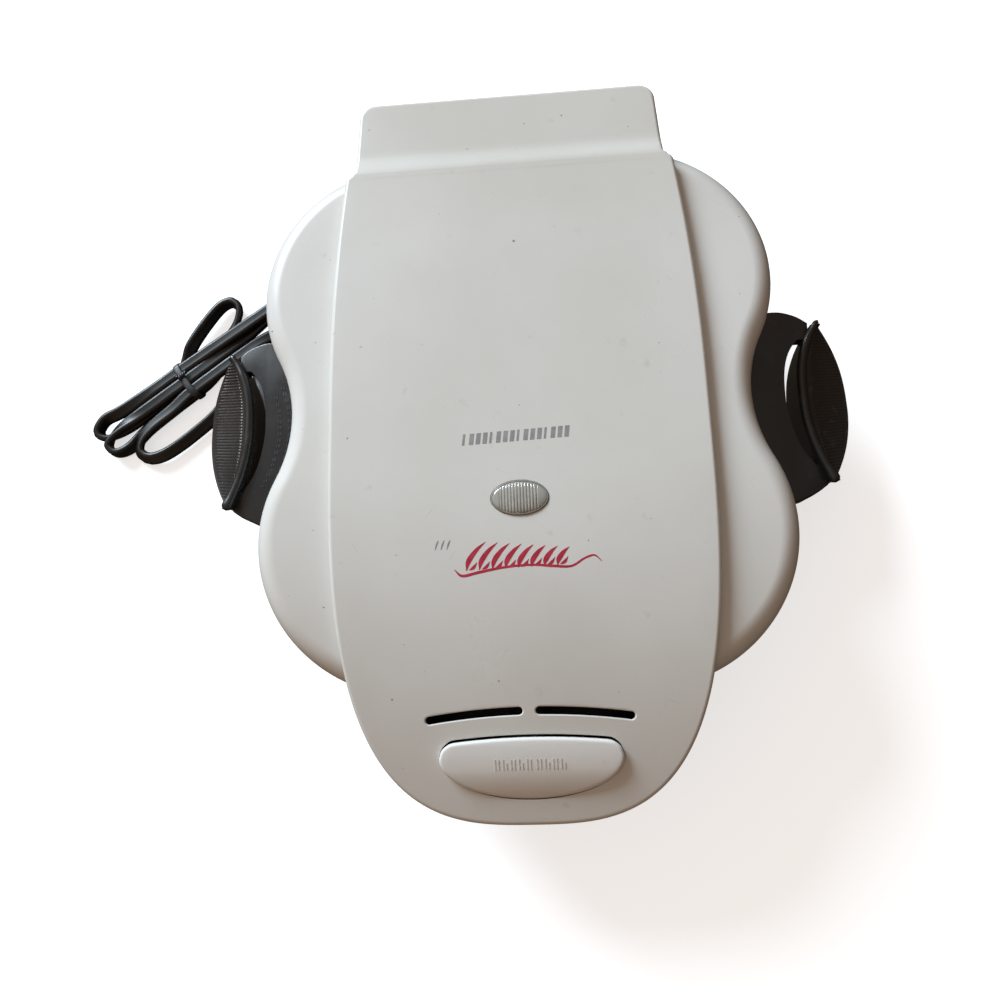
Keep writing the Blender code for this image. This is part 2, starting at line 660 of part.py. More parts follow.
def make_nose(base):
    levels = [(0.050, -0.158, 0.0200), (0.060, -0.172, 0.0260), (0.071, -0.185, 0.0380),
              (0.074, -0.189, BASE_RIM)]
    inner = [(0.0712, -0.1862, BASE_RIM), (0.0680, -0.1820, 0.0380), (0.0570, -0.1690, 0.0290)]
    rings = [nose_ring(*level) for level in levels]
    for half, reach, z in inner:
        ring = nose_ring(half, reach, z)
        rings.append([(x * 0.965, y - 0.0026, z) if abs(y) < 0.137 else (x, y, z) for x, y, z in ring])
    smooth(add("front_nose", loft("front_nose", rings), "black", base))


def make_catch(base):
    """The steel catch: a foot on the housing's rear wall and a bar that reaches towards the hook."""
    foot_y = -(LOBE_Y + LOBE_R + 0.0004) - 0.0026 - GAP
    under = HOOK_TIP_Z[1] + GAP
    outline = [(foot_y, 0.0300), (foot_y, 0.0480), (CATCH_EDGE_Y, 0.0480), (CATCH_EDGE_Y, under),
               (foot_y - 0.0020, under), (foot_y - 0.0020, 0.0300)]
    add("catch_plate", side_prism("catch_plate", outline, -0.0110, 0.0110), "steel", base)


def make_lower_plate(base):
    outline = lobed_outline()
    low, high = BASE_RIM - PLATE_T, BASE_RIM
    loops = [outline.loop(0.0048, low), outline.loop(0.0048, high)]
    plate = add("lower_plate", skin("lower_plate", outline, loops, None, None), "coated", base)
    rim_r, floor_r = WELL_R
    for x in (-LOBE_X, LOBE_X):
        for y in (-LOBE_Y, LOBE_Y):
            cup = [(floor_r + 0.002, WELL_FLOOR - PLATE_T), (rim_r + 0.0025, low + 0.0005),
                   (rim_r + 0.0025, high - 0.0005)]
            combine(plate, turned("cup", cup, 20, (x, y, 0.0)), "UNION")
            well = [(floor_r, WELL_FLOOR), (rim_r, high + 0.001)]
            combine(plate, turned("well", well, 20, (x, y, 0.0)), "DIFFERENCE")
    return smooth(plate, 30)


def make_base_inside(base):
    tube("lower_element", element_route(0.056, 0.064, 0.0218, 0.030), 0.0030, "steel", base, 2)
    outline = lobed_outline(lobe_steps=8, waist_steps=4)
    loops = [outline.loop(0.0190, 0.0125), outline.loop(0.0190, 0.0133)]
    add("lower_reflector", skin("lower_reflector", outline, loops, None, None), "aluminium", base)
    block = box_mesh("terminal_block", (-0.020, 0.096, 0.0140), (0.020, 0.108, 0.0180))
    add("terminal_block", block, "ceramic", base)


def make_hinge(base):
    profile = [(HINGE_PIN_R, -0.060), (HINGE_PIN_R, 0.060)]
    mesh = turned("hinge_pin", profile, 14, (0.0, HINGE_Y, HINGE_Z), "X")
    smooth(add("hinge_pin", mesh, "steel", base))
    front = LOBE_Y + LOBE_R - 0.0010 + GAP
    for label, side in (("left", -1), ("right", 1)):
        eye = arc((HINGE_Y, HINGE_Z), 0.0052, 0, 180, 6)
        outline = [(front, 0.0420), (0.1420, 0.0400), (0.1472, 0.0450)] + eye + [(front, HINGE_Z - 0.0020)]
        low, high = sorted((side * 0.0485, side * 0.0560))
        name = "hinge_bracket_" + label
        bracket = add(name, side_prism(name, outline, low, high), "black", base)
        bore = turned("bore", [(HINGE_PIN_R + GAP, low - 0.001), (HINGE_PIN_R + GAP, high + 0.001)], 14,
                      (0.0, HINGE_Y, HINGE_Z), "X")
        combine(bracket, bore, "DIFFERENCE")


# ---------------------------------------------------------------- side grips
def grip_line(u):
    """Middle of a grip's bead and outer edge of its leaf at u = -1 (front) to 1 (back)."""
    swing = abs(u) ** (2.0 if u < 0 else 2.8)
    return 0.1474 + 0.0108 * swing, 0.1747 - 0.0165 * swing


def grip_slot_side(reach, rounding, taper, direction, steps=8):
    """One side of the slot, `reach` inside the bead's middle, and `taper` nearer to it at the front end."""
    middle, half = GRIP_SLOT
    points = []
    for i in range(steps + 1):
        v = direction * (2 * i / steps - 1)
        y = middle + half * v
        bead = grip_line((y - GRIP_Y) / GRIP_HALF)[0]
        points.append((bead - reach + rounding * v ** 6 + taper * max(0.0, -v), y))
    return points


def make_grip(base, label, side):
    """A plate that follows the waist, and a sloping leaf outside it, joined at both ends of a slot."""
    outline = lobed_outline(lobe_steps=24, waist_steps=8)
    plate_line = [(x + GAP, y) for x, y in outline.ring if x > 0.100 and -0.0465 < y < 0.0570]
    plate_line += [(0.1375, 0.0576), (0.1433, 0.0569), (0.1500, 0.0542), (0.1553, 0.0503)]
    for i in range(9):
        u = 0.95 * (1 - i / 4)
        plate_line.append((grip_line(u)[0] - 0.0005, GRIP_Y + GRIP_HALF * u))
    plate_line += [(0.1558, -0.0386), (0.1510, -0.0420), (0.1460, -0.0445), (0.1396, -0.0469)]
    plate = prism("plate", plate_line, 0.0420, BASE_RIM - 0.0002)
    slot = grip_slot_side(0.0080, 0.0030, 0.0020, 1) + grip_slot_side(0.0012, -0.0010, 0.0, -1)
    rings = []
    for i in range(13):
        u = -1 + 2 * i / 12
        bead, edge = grip_line(u)
        edge = max(edge, bead + 0.0035)
        y = GRIP_Y + GRIP_HALF * u
        belly = 0.0305 + 0.0120 * u * u
        slope = 0.0538 - (edge - bead) * 0.53
        rings.append([(bead - 0.0023, y, 0.0512), (bead - 0.0023, y, belly + 0.0015),
                      (bead - 0.0010, y, belly), (edge - 0.0032, y, slope - 0.0058),
                      (edge, y, slope - 0.0022), (edge - 0.0006, y, slope),
                      (bead + 0.0023, y, 0.0519), (bead + 0.0012, y, 0.0538), (bead - 0.0012, y, 0.0538)])
    grip = loft("grip", rings)
    tool = prism("slot", slot, 0.020, 0.060)
    for mesh in (plate, grip, tool):
        mirror_x(mesh, side)
    made = add(label + "_handle", plate, "black", base)
    combine(made, tool, "DIFFERENCE")
    combine(made, grip, "UNION")
    return smooth(made)


def mirror_x(mesh, side):
    if side < 0:
        mesh.transform(Matrix.Scale(-1, 4, (1, 0, 0)))
        mesh.flip_normals()


# ---------------------------------------------------------------- feet, screws
def make_feet(base):
    for label, x, y in FOOT_PLACES:
        profile = [(0.0075, 0.0), (0.0085, 0.0010), (0.0090, BASE_FLOOR - GAP)]
        name = "foot_" + label
        smooth(add(name, turned(name, profile, 16, (x, y, 0.0)), "rubber", base))


def make_screws(base):
    for label, x, y in SCREW_PLACES:
        name = "base_screw_" + label
        profile = [(0.0030, BASE_FLOOR - 0.0020), (0.0036, BASE_FLOOR - 0.0014), (0.0036, BASE_FLOOR - GAP)]
        smooth(add(name, turned(name, profile, 12, (x, y, 0.0)), "steel", base))


# ---------------------------------------------------------------- cord
def sleeve(name, levels):
    """A round bar from the base's rear left wall to the cord, from (share of its length, radius) pairs."""
    start, end = Vector(SLEEVE_START), Vector(EXIT)
    along = (end - start).normalized()
    across = along.cross(Vector((0, 0, 1))).normalized()
    up = across.cross(along)
    rings = []
    for share, radius in levels:
        ring = []
        for i in range(12):
            angle = 2 * math.pi * i / 12
            spot = start + (end - start) * share + (across * math.cos(angle) + up * math.sin(angle)) * radius
            ring.append(tuple(spot))
        rings.append(ring)
    return loft(name, rings)


def make_strain_relief(base, shell):
    levels = [(0.0, 0.0064), (0.30, 0.0064), (1.0, 0.0046)]
    smooth(add("strain_relief", sleeve("strain_relief", levels), "rubber", base))
    combine(shell, sleeve("hole", [(-0.1, 0.0067), (0.5, 0.0067)]), "DIFFERENCE")


def make_cord(base):
    tube("cord_lead", smooth_route(LEAD_ROUTE, 6), CORD_R, "cord", base, 2)
    (x0, y0), (x1, y1) = HANK_ENDS
    length = math.hypot(x1 - x0, y1 - y0)
    ax, ay = (x1 - x0) / length, (y1 - y0) / length
    heading = math.degrees(math.atan2(ay, ax))
    outline = arc((x1, y1), HANK_HALF, heading - 90, heading + 90, 8)
    outline += arc((x0, y0), HANK_HALF, heading + 90, heading + 270, 8)
    low, high = HANK_Z
    add("cord_hank", prism("cord_hank", outline, low, high), "cord", base)
    tube("cord_loop", smooth_route(LOOP_ROUTE, 12), CORD_R, "cord", base, 2)
    tube("cord_tail", smooth_route(TAIL_ROUTE, 22), CORD_R, "cord", base, 2)


def make_plug(base):
    x, y, z = PLUG_AT
    rings = []
    levels = ((0.0170, 0.0055, 0.0050), (0.0120, 0.0080, 0.0065), (-0.0040, 0.0110, 0.0075),
              (-0.0110, 0.0120, 0.0078))
    for back, half_x, half_z in levels:
        ring = []
        for i in range(12):
            angle = 2 * math.pi * (i + 0.5) / 12
            ring.append((x + half_x * math.cos(angle), y + back, z + half_z * math.sin(angle)))
        rings.append(ring)
    smooth(add("plug_body", loft("plug_body", rings), "cord", base))
    for label, side in (("left", -1), ("right", 1)):
        middle = x + side * 0.00635
        name = "plug_blade_" + label
        low = (middle - 0.00075, y - 0.0278, z - 0.0032)
        high = (middle + 0.00075, y - 0.0110 - GAP, z + 0.0032)
        add(name, box_mesh(name, low, high), "brass", base)


# ---------------------------------------------------------------- assembly
def frame_at(name, place, parent=None):
    """An empty at a place in waist coordinates."""
    parent_at = Vector(parent["at"]) if parent else Vector((0.0, -ROOT_SHIFT, 0.0))
    made = empty(name, Vector(place) - parent_at, parent)
    made["at"] = tuple(place)
    return made


def build():
    clear_scene()
    base = frame_at("base_frame", (0.0, 0.0, 0.0))
    lid = frame_at("lid_frame", (0.0, HINGE_Y, HINGE_Z), base)
    button = frame_at("button_frame", (0.0, PIVOT_Y, PIVOT_Z), lid)
    make_lid_shell(lid)
    make_top_cover(lid)
    make_lens(lid)
    make_lamp(lid)
    make_upper_plate(lid)
    make_lid_inside(lid)
    make_hinge_arms(lid)
    make_button_pin(lid)
    make_latch_spring(lid)
    make_button(button)
    make_hook(button)
    shell = make_base_shell(base)
    make_strain_relief(base, shell)
    make_nose(base)
    make_catch(base)
    make_lower_plate(base)
    make_base_inside(base)
    make_hinge(base)
    make_grip(base, "left", -1)
    make_grip(base, "right", 1)
    make_feet(base)
    make_screws(base)
    make_cord(base)
    make_plug(base)


build()
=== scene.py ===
"""Looks of the countertop baker for four pastry shells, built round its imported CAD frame.

Y is measured from the waist between the front and the back lobes, as in the part's own source, and
`piece` moves each finished mesh by WAIST_Y into the frame. Sizes are metres, except in the cord's route
and inside mm(...), which take millimetres.
"""
import random
from math import atan2, copysign, cos, degrees, dist, exp, hypot, pi, radians, sin, sqrt

import bmesh
import bpy
from mathutils import Matrix, Vector


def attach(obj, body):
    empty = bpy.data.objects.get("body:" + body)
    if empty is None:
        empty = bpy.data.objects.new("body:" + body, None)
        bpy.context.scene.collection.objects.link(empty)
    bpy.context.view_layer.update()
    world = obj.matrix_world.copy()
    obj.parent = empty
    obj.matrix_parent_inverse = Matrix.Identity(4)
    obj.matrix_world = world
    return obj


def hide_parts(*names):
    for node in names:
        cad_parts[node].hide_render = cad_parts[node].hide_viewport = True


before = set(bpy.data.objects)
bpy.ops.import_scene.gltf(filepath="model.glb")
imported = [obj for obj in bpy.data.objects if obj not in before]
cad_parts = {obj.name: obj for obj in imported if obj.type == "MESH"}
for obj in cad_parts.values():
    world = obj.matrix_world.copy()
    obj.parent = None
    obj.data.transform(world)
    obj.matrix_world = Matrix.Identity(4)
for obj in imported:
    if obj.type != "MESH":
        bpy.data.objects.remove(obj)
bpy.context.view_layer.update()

WAIST_Y = 0.0141

LOBE_R, LOBE_X, LOBE_Y, WAIST_R = 0.0725, 0.0557, 0.0637, 0.0682
LID_RIM, LOBE_TOP, COVER_TOP, SHOULDER_R = 0.0505, 0.0910, 0.0972, 0.0108
LID_WALL = 0.0025
FLAT_Y, FALL = -0.036, 1.22
COVER_W, COVER_WIDE_Y, COVER_REACH = 0.0899, 0.010, 0.2052
COVER_BACK = (0.0828, 0.124)
COVER_WALL, COVER_EDGE_R = 0.0022, 0.0020
HOOD_BASE, HOOD_END, HOOD_BACK_Y, HOOD_CORNER_R = (0.0786, 0.1256), (0.0768, 0.1585), 0.1670, 0.0085
HOOD_TOP, HOOD_STEP_Y, HOOD_RIM = 0.0950, (0.124, 0.136), 0.066
BASE_RIM, BASE_FLOOR, BASE_WALL = 0.0495, 0.0050, 0.0025
LENS_Y, LENS_HALF = -0.0486, (0.0135, 0.0082)
LENS_RIBS, LENS_RIB_PITCH, LENS_RIB_DEPTH, LENS_DOME = (-0.0094, 0.0086), 0.00144, 0.00026, 0.0016
BUTTON_W = 0.0414
BUTTON_Y = (-0.1552, -0.1639, -0.1827)
BUTTON_DEPTH, BUTTON_RISE = 0.0050, (0.0036, 0.0024, 0.0002)
BUTTON_GAP = (0.0006, 0.0012)
WELL_R, WELL_FLOOR, PLATE_T, PLATE_GAP = (0.049, 0.040), 0.0290, 0.0030, 0.0060
GRIP_Y, GRIP_HALF, GRIP_SLOT = 0.0055, 0.0425, (0.0063, 0.0345)
LEAF_TOP, LEAF_RIBS, LEAF_RIDGE, LEAF_SLANT = 0.0519, 50, 0.00048, 0.20
EXIT = (-0.1336, 0.1085, 0.0150)
SLEEVE_START, SLEEVE_R = (-0.1062, 0.0930, 0.0210), 0.0064
PLUG_AT = (-0.1530, 0.0120, 0.0085)
LOBE_CENTERS = [(x, y) for x in (-LOBE_X, LOBE_X) for y in (-LOBE_Y, LOBE_Y)]
UP = Vector((0, 0, 1))

CAMERA_LENS, CAMERA_SENSOR = 27.04, 36.0
CAMERA_AT, CAMERA_TURN = (0.01278, -0.12221, 0.43246), (3.73, 12.23, -1.85)
FLOOR_HALF, FLOOR_TONE, FLOOR_GLOW = 30, (0.66, 0.68, 0.70), 0.66
ROOM_BELOW, ROOM_SIDES, ROOM_ABOVE = (0.06, 0.048, 0.038), (0.46, 0.302, 0.195), (0.46, 0.405, 0.375)
WINDOW_AT, WINDOW_AIM = (-2.97, 3.67, 2.41), (0, 0, 0.05)
WINDOW_SIZE, WINDOW_POWER, WINDOW_COLOR = 2.6, 488.0, (0.75, 0.893, 1.0)
SMUDGE_TONE, SPECK_TONE, SCRATCH_TONE = (0.40, 0.385, 0.355), (0.13, 0.115, 0.10), (0.45, 0.44, 0.42)
SCRATCH_WAYS = ((46.0, 0.9), (33.0, -0.35), (60.0, 2.1))


# ---- camera, floor, light
def linked(name, data):
    """A new object in the scene."""
    made = bpy.data.objects.new(name, data)
    bpy.context.scene.collection.objects.link(made)
    return made


def make_camera():
    data = bpy.data.cameras.new("camera")
    data.lens, data.sensor_width = CAMERA_LENS, CAMERA_SENSOR
    made = linked("camera", data)
    sideways, tilt, roll = (radians(angle) for angle in CAMERA_TURN)
    turn = Matrix.Rotation(sideways, 4, "Y") @ Matrix.Rotation(tilt, 4, "X") @ Matrix.Rotation(roll, 4, "Z")
    x, y, z = CAMERA_AT
    made.matrix_world = Matrix.Translation((x, y + WAIST_Y, z)) @ turn
    bpy.context.scene.camera = made


def make_floor():
    """A pale paper floor that stays pale in shade and gives the object no light of its own."""
    half = FLOOR_HALF
    corners = [(-half, -half, 0), (half, -half, 0), (half, half, 0), (-half, half, 0)]
    mesh = bpy.data.meshes.new("floor")
    mesh.from_pydata(corners, [], [(0, 1, 2, 3)])
    floor = linked("floor", mesh)
    floor.visible_diffuse = False
    floor.visible_glossy = False
    finish, _, shader = node_material("floor_paper")
    set_inputs(shader, {"Base Color": (*FLOOR_TONE, 1), "Roughness": 0.9, "Specular IOR Level": 0.1,
                        "Emission Color": (1, 1, 1, 1), "Emission Strength": FLOOR_GLOW})
    mesh.materials.append(finish)


def make_window():
    """Cool light from one window behind the object, on its left."""
    data = bpy.data.lights.new("window", "AREA")
    data.shape, data.size, data.energy, data.color = "DISK", WINDOW_SIZE, WINDOW_POWER, WINDOW_COLOR
    made = linked("window", data)
    made.location = WINDOW_AT
    made.rotation_euler = (Vector(WINDOW_AIM) - Vector(WINDOW_AT)).to_track_quat("-Z", "Y").to_euler()


def make_room():
    """A warm, dim room, dark below the horizon and dimmer toward the right."""
    world = bpy.data.worlds.new("room")
    world.use_nodes = True
    tree = world.node_tree
    coords = tree.nodes.new("ShaderNodeTexCoord")
    parts = tree.nodes.new("ShaderNodeSeparateXYZ")
    tree.links.new(coords.outputs["Generated"], parts.inputs["Vector"])
    by_height = [(0.0, ROOM_BELOW), (0.03, ROOM_SIDES), (0.72, ROOM_SIDES), (0.90, ROOM_ABOVE)]
    walls = ramp(tree, parts.outputs["Z"], by_height)
    toward_right = ramp(tree, parts.outputs["X"], [(0.0, 1.0), (0.65, 0.30)])
    room = blend_colors(tree, walls, toward_right, 1.0, "MULTIPLY")
    tree.links.new(room, tree.nodes["Background"].inputs["Color"])
    bpy.context.scene.world = world
    bpy.context.scene.view_settings.view_transform = "Standard"


# ---- materials
def node_material(name):
    made = bpy.data.materials.new(name)
    made.use_nodes = True
    tree = made.node_tree
    return made, tree, tree.nodes["Principled BSDF"]


def set_inputs(shader, values):
    for socket, value in values.items():
        shader.inputs[socket].default_value = value


def noise_node(tree, scale, detail, stretch=None):
    """Noise over the object, with `stretch` as (x, y, z) factors and, last, a turn about Z."""
    made = tree.nodes.new("ShaderNodeTexNoise")
    made.inputs["Scale"].default_value = scale
    made.inputs["Detail"].default_value = detail
    source = tree.nodes.new("ShaderNodeTexCoord").outputs["Object"]
    if stretch:
        mapping = tree.nodes.new("ShaderNodeMapping")
        mapping.vector_type = "TEXTURE"
        mapping.inputs["Scale"].default_value = stretch[:3]
        mapping.inputs["Rotation"].default_value = (0, 0, stretch[3])
        tree.links.new(source, mapping.inputs["Vector"])
        source = mapping.outputs["Vector"]
    tree.links.new(source, made.inputs["Vector"])
    return made.outputs["Fac"]


def ramp(tree, source, stops):
    made = tree.nodes.new("ShaderNodeValToRGB")
    line = made.color_ramp
    while len(line.elements) < len(stops):
        line.elements.new(0.5)
    for element, (at, color) in zip(line.elements, stops):
        element.position = at
        element.color = (*color, 1) if isinstance(color, tuple) else (color, color, color, 1)
    tree.links.new(source, made.inputs["Fac"])
    return made.outputs["Color"]


def blend_colors(tree, a, b, amount, mode="MIX"):
    made = tree.nodes.new("ShaderNodeMix")
    made.data_type, made.blend_type = "RGBA", mode
    for socket, value in ((made.inputs[0], amount), (made.inputs[6], a), (made.inputs[7], b)):
        if isinstance(value, bpy.types.NodeSocket):
            tree.links.new(value, socket)
        elif isinstance(value, tuple):
            socket.default_value = (*value, 1)
        else:
            socket.default_value = value
    return made.outputs[2]


def noise_ramp(tree, scale, detail, *stops):
    return ramp(tree, noise_node(tree, scale, detail), stops)


def feed(tree, shader, socket, scale, detail, *stops):
    """Feeds a socket of the shader from noise, through stops of (noise, value)."""
    tree.links.new(noise_ramp(tree, scale, detail, *stops), shader.inputs[socket])


def bump(tree, shader, height, distance, strength):
    made = tree.nodes.new("ShaderNodeBump")
    made.inputs["Distance"].default_value = distance
    made.inputs["Strength"].default_value = strength
    tree.links.new(height, made.inputs["Height"])
    tree.links.new(made.outputs["Normal"], shader.inputs["Normal"])


def ivory_plastic(name="ivory_plastic", tone=(0.640, 0.637, 0.612), worn=(0.585, 0.575, 0.540), marks=True):
    """Satin moulded plastic, and with `marks` its smudges, specks and three ways of fine scratches."""
    made, tree, shader = node_material(name)
    base = noise_ramp(tree, 9.0, 4.0, (0.38, tone), (0.66, worn))
    if marks:
        smudge = noise_ramp(tree, 120.0, 8.0, (0.68, 0.0), (0.76, 0.30))
        base = blend_colors(tree, base, SMUDGE_TONE, smudge)
        speck = noise_ramp(tree, 330.0, 2.0, (0.765, 0.0), (0.785, 0.8))
        base = blend_colors(tree, base, SPECK_TONE, speck)
        for scale, turn in SCRATCH_WAYS:
            grain = noise_node(tree, scale, 3.0, (1.0, 0.06, 1.0, turn))
            scratch = ramp(tree, grain, [(0.745, 0.0), (0.765, 0.35)])
            base = blend_colors(tree, base, SCRATCH_TONE, scratch)
    tree.links.new(base, shader.inputs["Base Color"])
    feed(tree, shader, "Roughness", 24.0, 5.0, (0.3, 0.27), (0.7, 0.38))
    set_inputs(shader, {"Specular IOR Level": 0.36, "Subsurface Weight": 0.04,
                        "Subsurface Radius": (0.004, 0.003, 0.002)})
    bump(tree, shader, noise_node(tree, 900.0, 2.0), 0.00002, 0.5)
    return made


def noisy(name, color, rough, relief=None, values=()):
    """A material whose colour and roughness run through stops in noise, with a fine relief if one is given.

    `color` and `rough` are (scale, detail, stops...), and `relief` is (scale, detail, distance, strength).
    """
    made, tree, shader = node_material(name)
    feed(tree, shader, "Base Color", *color)
    feed(tree, shader, "Roughness", *rough)
    set_inputs(shader, dict(values))
    if relief:
        scale, detail, distance, strength = relief
        bump(tree, shader, noise_node(tree, scale, detail), distance, strength)
    return made


def black_plastic(name="black_plastic", color=(0.0125, 0.0125, 0.0130), low=0.24, high=0.42):
    dusty = tuple(c * 3.0 for c in color)
    return noisy(name, (160.0, 6.0, (0.60, color), (0.82, dusty)), (30.0, 5.0, (0.3, low), (0.7, high)),
                 (1300.0, 2.0, 0.00003, 0.6), {"Specular IOR Level": 0.5})


def cord_jacket():
    clean, dusty = (0.0075, 0.0072, 0.0072), (0.018, 0.016, 0.015)
    return noisy("cord_jacket", (90.0, 5.0, (0.45, clean), (0.8, dusty)),
                 (60.0, 4.0, (0.3, 0.32), (0.7, 0.46)), (500.0, 3.0, 0.00003, 0.5),
                 {"Specular IOR Level": 0.38})


def metal(name, color, low, high, brushed=None):
    made, tree, shader = node_material(name)
    shader.inputs["Metallic"].default_value = 1.0
    dark = tuple(c * 0.82 for c in color)
    feed(tree, shader, "Base Color", 60.0, 5.0, (0.35, color), (0.75, dark))
    grain = noise_node(tree, 300.0, 3.0, brushed)
    tree.links.new(ramp(tree, grain, [(0.3, low), (0.7, high)]), shader.inputs["Roughness"])
    bump(tree, shader, grain, 0.00002, 0.5)
    return made


def coated_metal():
    dark, light = (0.026, 0.025, 0.025), (0.050, 0.048, 0.046)
    return noisy("nonstick_coating", (420.0, 4.0, (0.42, dark), (0.62, light)),
                 (50.0, 5.0, (0.3, 0.28), (0.7, 0.44)), (1500.0, 2.0, 0.00003, 0.6))


def lens_plastic():
    light, dark = (0.53, 0.52, 0.475), (0.41, 0.40, 0.365)
    return noisy("lens_plastic", (140.0, 4.0, (0.35, light), (0.7, dark)),
                 (220.0, 3.0, (0.3, 0.06), (0.7, 0.16)), (500.0, 2.0, 0.00002, 0.3),
                 {"Transmission Weight": 0.35, "IOR": 1.49})


def ink(name, color):
    light = tuple(min(1.0, c * 1.25 + 0.01) for c in color)
    return noisy(name, (260.0, 5.0, (0.4, color), (0.72, light)), (300.0, 3.0, (0.3, 0.35), (0.7, 0.5)))


def matte(name, color, other, scale, low=0.55, high=0.8):
    return noisy(name, (scale, 5.0, (0.35, color), (0.7, other)), (scale * 2, 3.0, (0.3, low), (0.7, high)),
                 (scale * 6, 3.0, 0.00005, 0.5))


def glass_lamp():
    made, tree, shader = node_material("lamp_glass")
    feed(tree, shader, "Base Color", 120.0, 2.0, (0.3, (0.95, 0.40, 0.16)), (0.7, (0.85, 0.28, 0.10)))
    set_inputs(shader, {"Roughness": 0.08, "Transmission Weight": 0.7})
    return made


# ---- outlines and heights
def mm(*points):
    return [tuple(value / 1000 for value in point) for point in points]


def evenly(points, count):
    lengths = [0.0]
    for a, b in zip(points, points[1:]):
        lengths.append(lengths[-1] + dist(a, b))
    spaced, k = [], 0
    for i in range(count + 1):
        want = lengths[-1] * i / count
        while k < len(points) - 2 and lengths[k + 1] < want:
            k += 1
        t = (want - lengths[k]) / (lengths[k + 1] - lengths[k])
        spaced.append(tuple(a + (b - a) * t for a, b in zip(points[k], points[k + 1])))
    return spaced


def arc(center, radius, start, end, count):
    angles = [radians(start + (end - start) * i / count) for i in range(count + 1)]
    return [(center[0] + radius * cos(a), center[1] + radius * sin(a)) for a in angles]


class Outline:
    """A closed outline, the same on both sides of X = 0, whose inside can be filled by rows across it."""

    def __init__(self, front, side, back):
        self.columns = len(front) - 1
        self.rows = len(side) - 1
        left = [(-x, y) for x, y in reversed(side)]
        self.ring = front + side[1:] + list(reversed(back))[1:] + left[1:-1]
        self.normals = []
        count = len(self.ring)
        for i in range(count):
            (x0, y0), (x1, y1) = self.ring[i - 1], self.ring[(i + 1) % count]
            length = hypot(x1 - x0, y1 - y0)
            self.normals.append(((y1 - y0) / length, (x0 - x1) / length))

    def loop(self, inset, height):
        points = []
        for (x, y), (nx, ny) in zip(self.ring, self.normals):
            px, py = x - nx * inset, y - ny * inset
            points.append((px, py, height(px, py) if callable(height) else height))
        return points


def waist_center():
    return LOBE_X + sqrt((LOBE_R + WAIST_R) ** 2 - LOBE_Y ** 2)


def ellipse(half_a, half_b, steps, shift=0.0):
    angles = [2 * pi * (i + shift) / steps for i in range(steps)]
    return [(half_a * cos(a), half_b * sin(a)) for a in angles]


def squared_ellipse(half_a, half_b, power, steps):
    """An ellipse pressed towards its box, the more so the smaller the power."""
    def pressed(value):
        return copysign(abs(value) ** power, value)

    return [(half_a * pressed(a), half_b * pressed(b)) for a, b in ellipse(1.0, 1.0, steps)]


def row(half, y, columns):
    """Points straight across, from -half to half."""
    return [(-half + 2 * half * i / columns, y) for i in range(columns + 1)]


def lobed_outline(columns=26, lobe_steps=44, waist_steps=22):
    turn = degrees(atan2(LOBE_Y, waist_center() - LOBE_X))
    side = arc((LOBE_X, -LOBE_Y), LOBE_R, -90, turn, lobe_steps)
    side += arc((waist_center(), 0.0), WAIST_R, 180 + turn, 180 - turn, waist_steps)[1:]
    side += arc((LOBE_X, LOBE_Y), LOBE_R, -turn, 90, lobe_steps)[1:]
    reach = LOBE_Y + LOBE_R
    return Outline(row(LOBE_X, -reach, columns), side, row(LOBE_X, reach, columns))


def cover_half_width(y):
    if y > COVER_WIDE_Y:
        back_x, back_y = COVER_BACK
        return COVER_W - (COVER_W - back_x) * ((y - COVER_WIDE_Y) / (back_y - COVER_WIDE_Y)) ** 2
    forward = min(1.0, (COVER_WIDE_Y - y) / COVER_REACH)
    return COVER_W * (1.0 - forward ** 4) ** (1 / 3)


def cover_nose_y(x):
    return COVER_WIDE_Y - COVER_REACH * (1.0 - (abs(x) / COVER_W) ** 3) ** 0.25


def tongue_side(start_x, end_y, steps):
    """Evenly spaced points along the cover's side, worked out from points that lie closer at the nose."""
    dense, samples = [], 600
    for i in range(samples):
        y = cover_nose_y(start_x) + (end_y - cover_nose_y(start_x)) * (i / (samples - 1)) ** 2
        dense.append((cover_half_width(y), y))
    return evenly(dense, steps)


def cover_outline(columns=28, steps=120):
    nose = 0.030
    back_x, back_y = COVER_BACK
    base_x, base_y = HOOD_BASE
    side = tongue_side(nose, back_y - 0.0020, steps)
    side += arc((back_x - 0.0022, back_y - 0.0020), 0.0021, 0, 78, 6)[1:]
    side += arc((base_x + 0.0016, base_y + 0.0016), 0.0015, 262, 184, 4)
    side += evenly([(base_x, base_y + 0.003), HOOD_END], 12)
    corner = (HOOD_END[0] - HOOD_CORNER_R, HOOD_BACK_Y - HOOD_CORNER_R)
    side += arc(corner, HOOD_CORNER_R, 0, 90, 12)[1:]
    front = [(x, cover_nose_y(x)) for x, _ in row(nose, 0.0, columns)]
    return Outline(front, side, row(corner[0], HOOD_BACK_Y, columns))


def fall(y):
    return FALL * max(0.0, FLAT_Y - y) ** 2


def lobe_height(x, y):
    return LOBE_TOP - fall(y)


def cover_height(x, y):
    start, end = HOOD_STEP_Y
    t = min(1.0, max(0.0, (y - start) / (end - start)))
    return COVER_TOP - (COVER_TOP - HOOD_TOP) * t * t * (3 - 2 * t) - fall(y)


def lobe_depth(x, y):
    if abs(y) < LOBE_Y:
        return LOBE_R
    if abs(x) < LOBE_X:
        return LOBE_Y + LOBE_R - abs(y)
    return LOBE_R - hypot(abs(x) - LOBE_X, abs(y) - LOBE_Y)


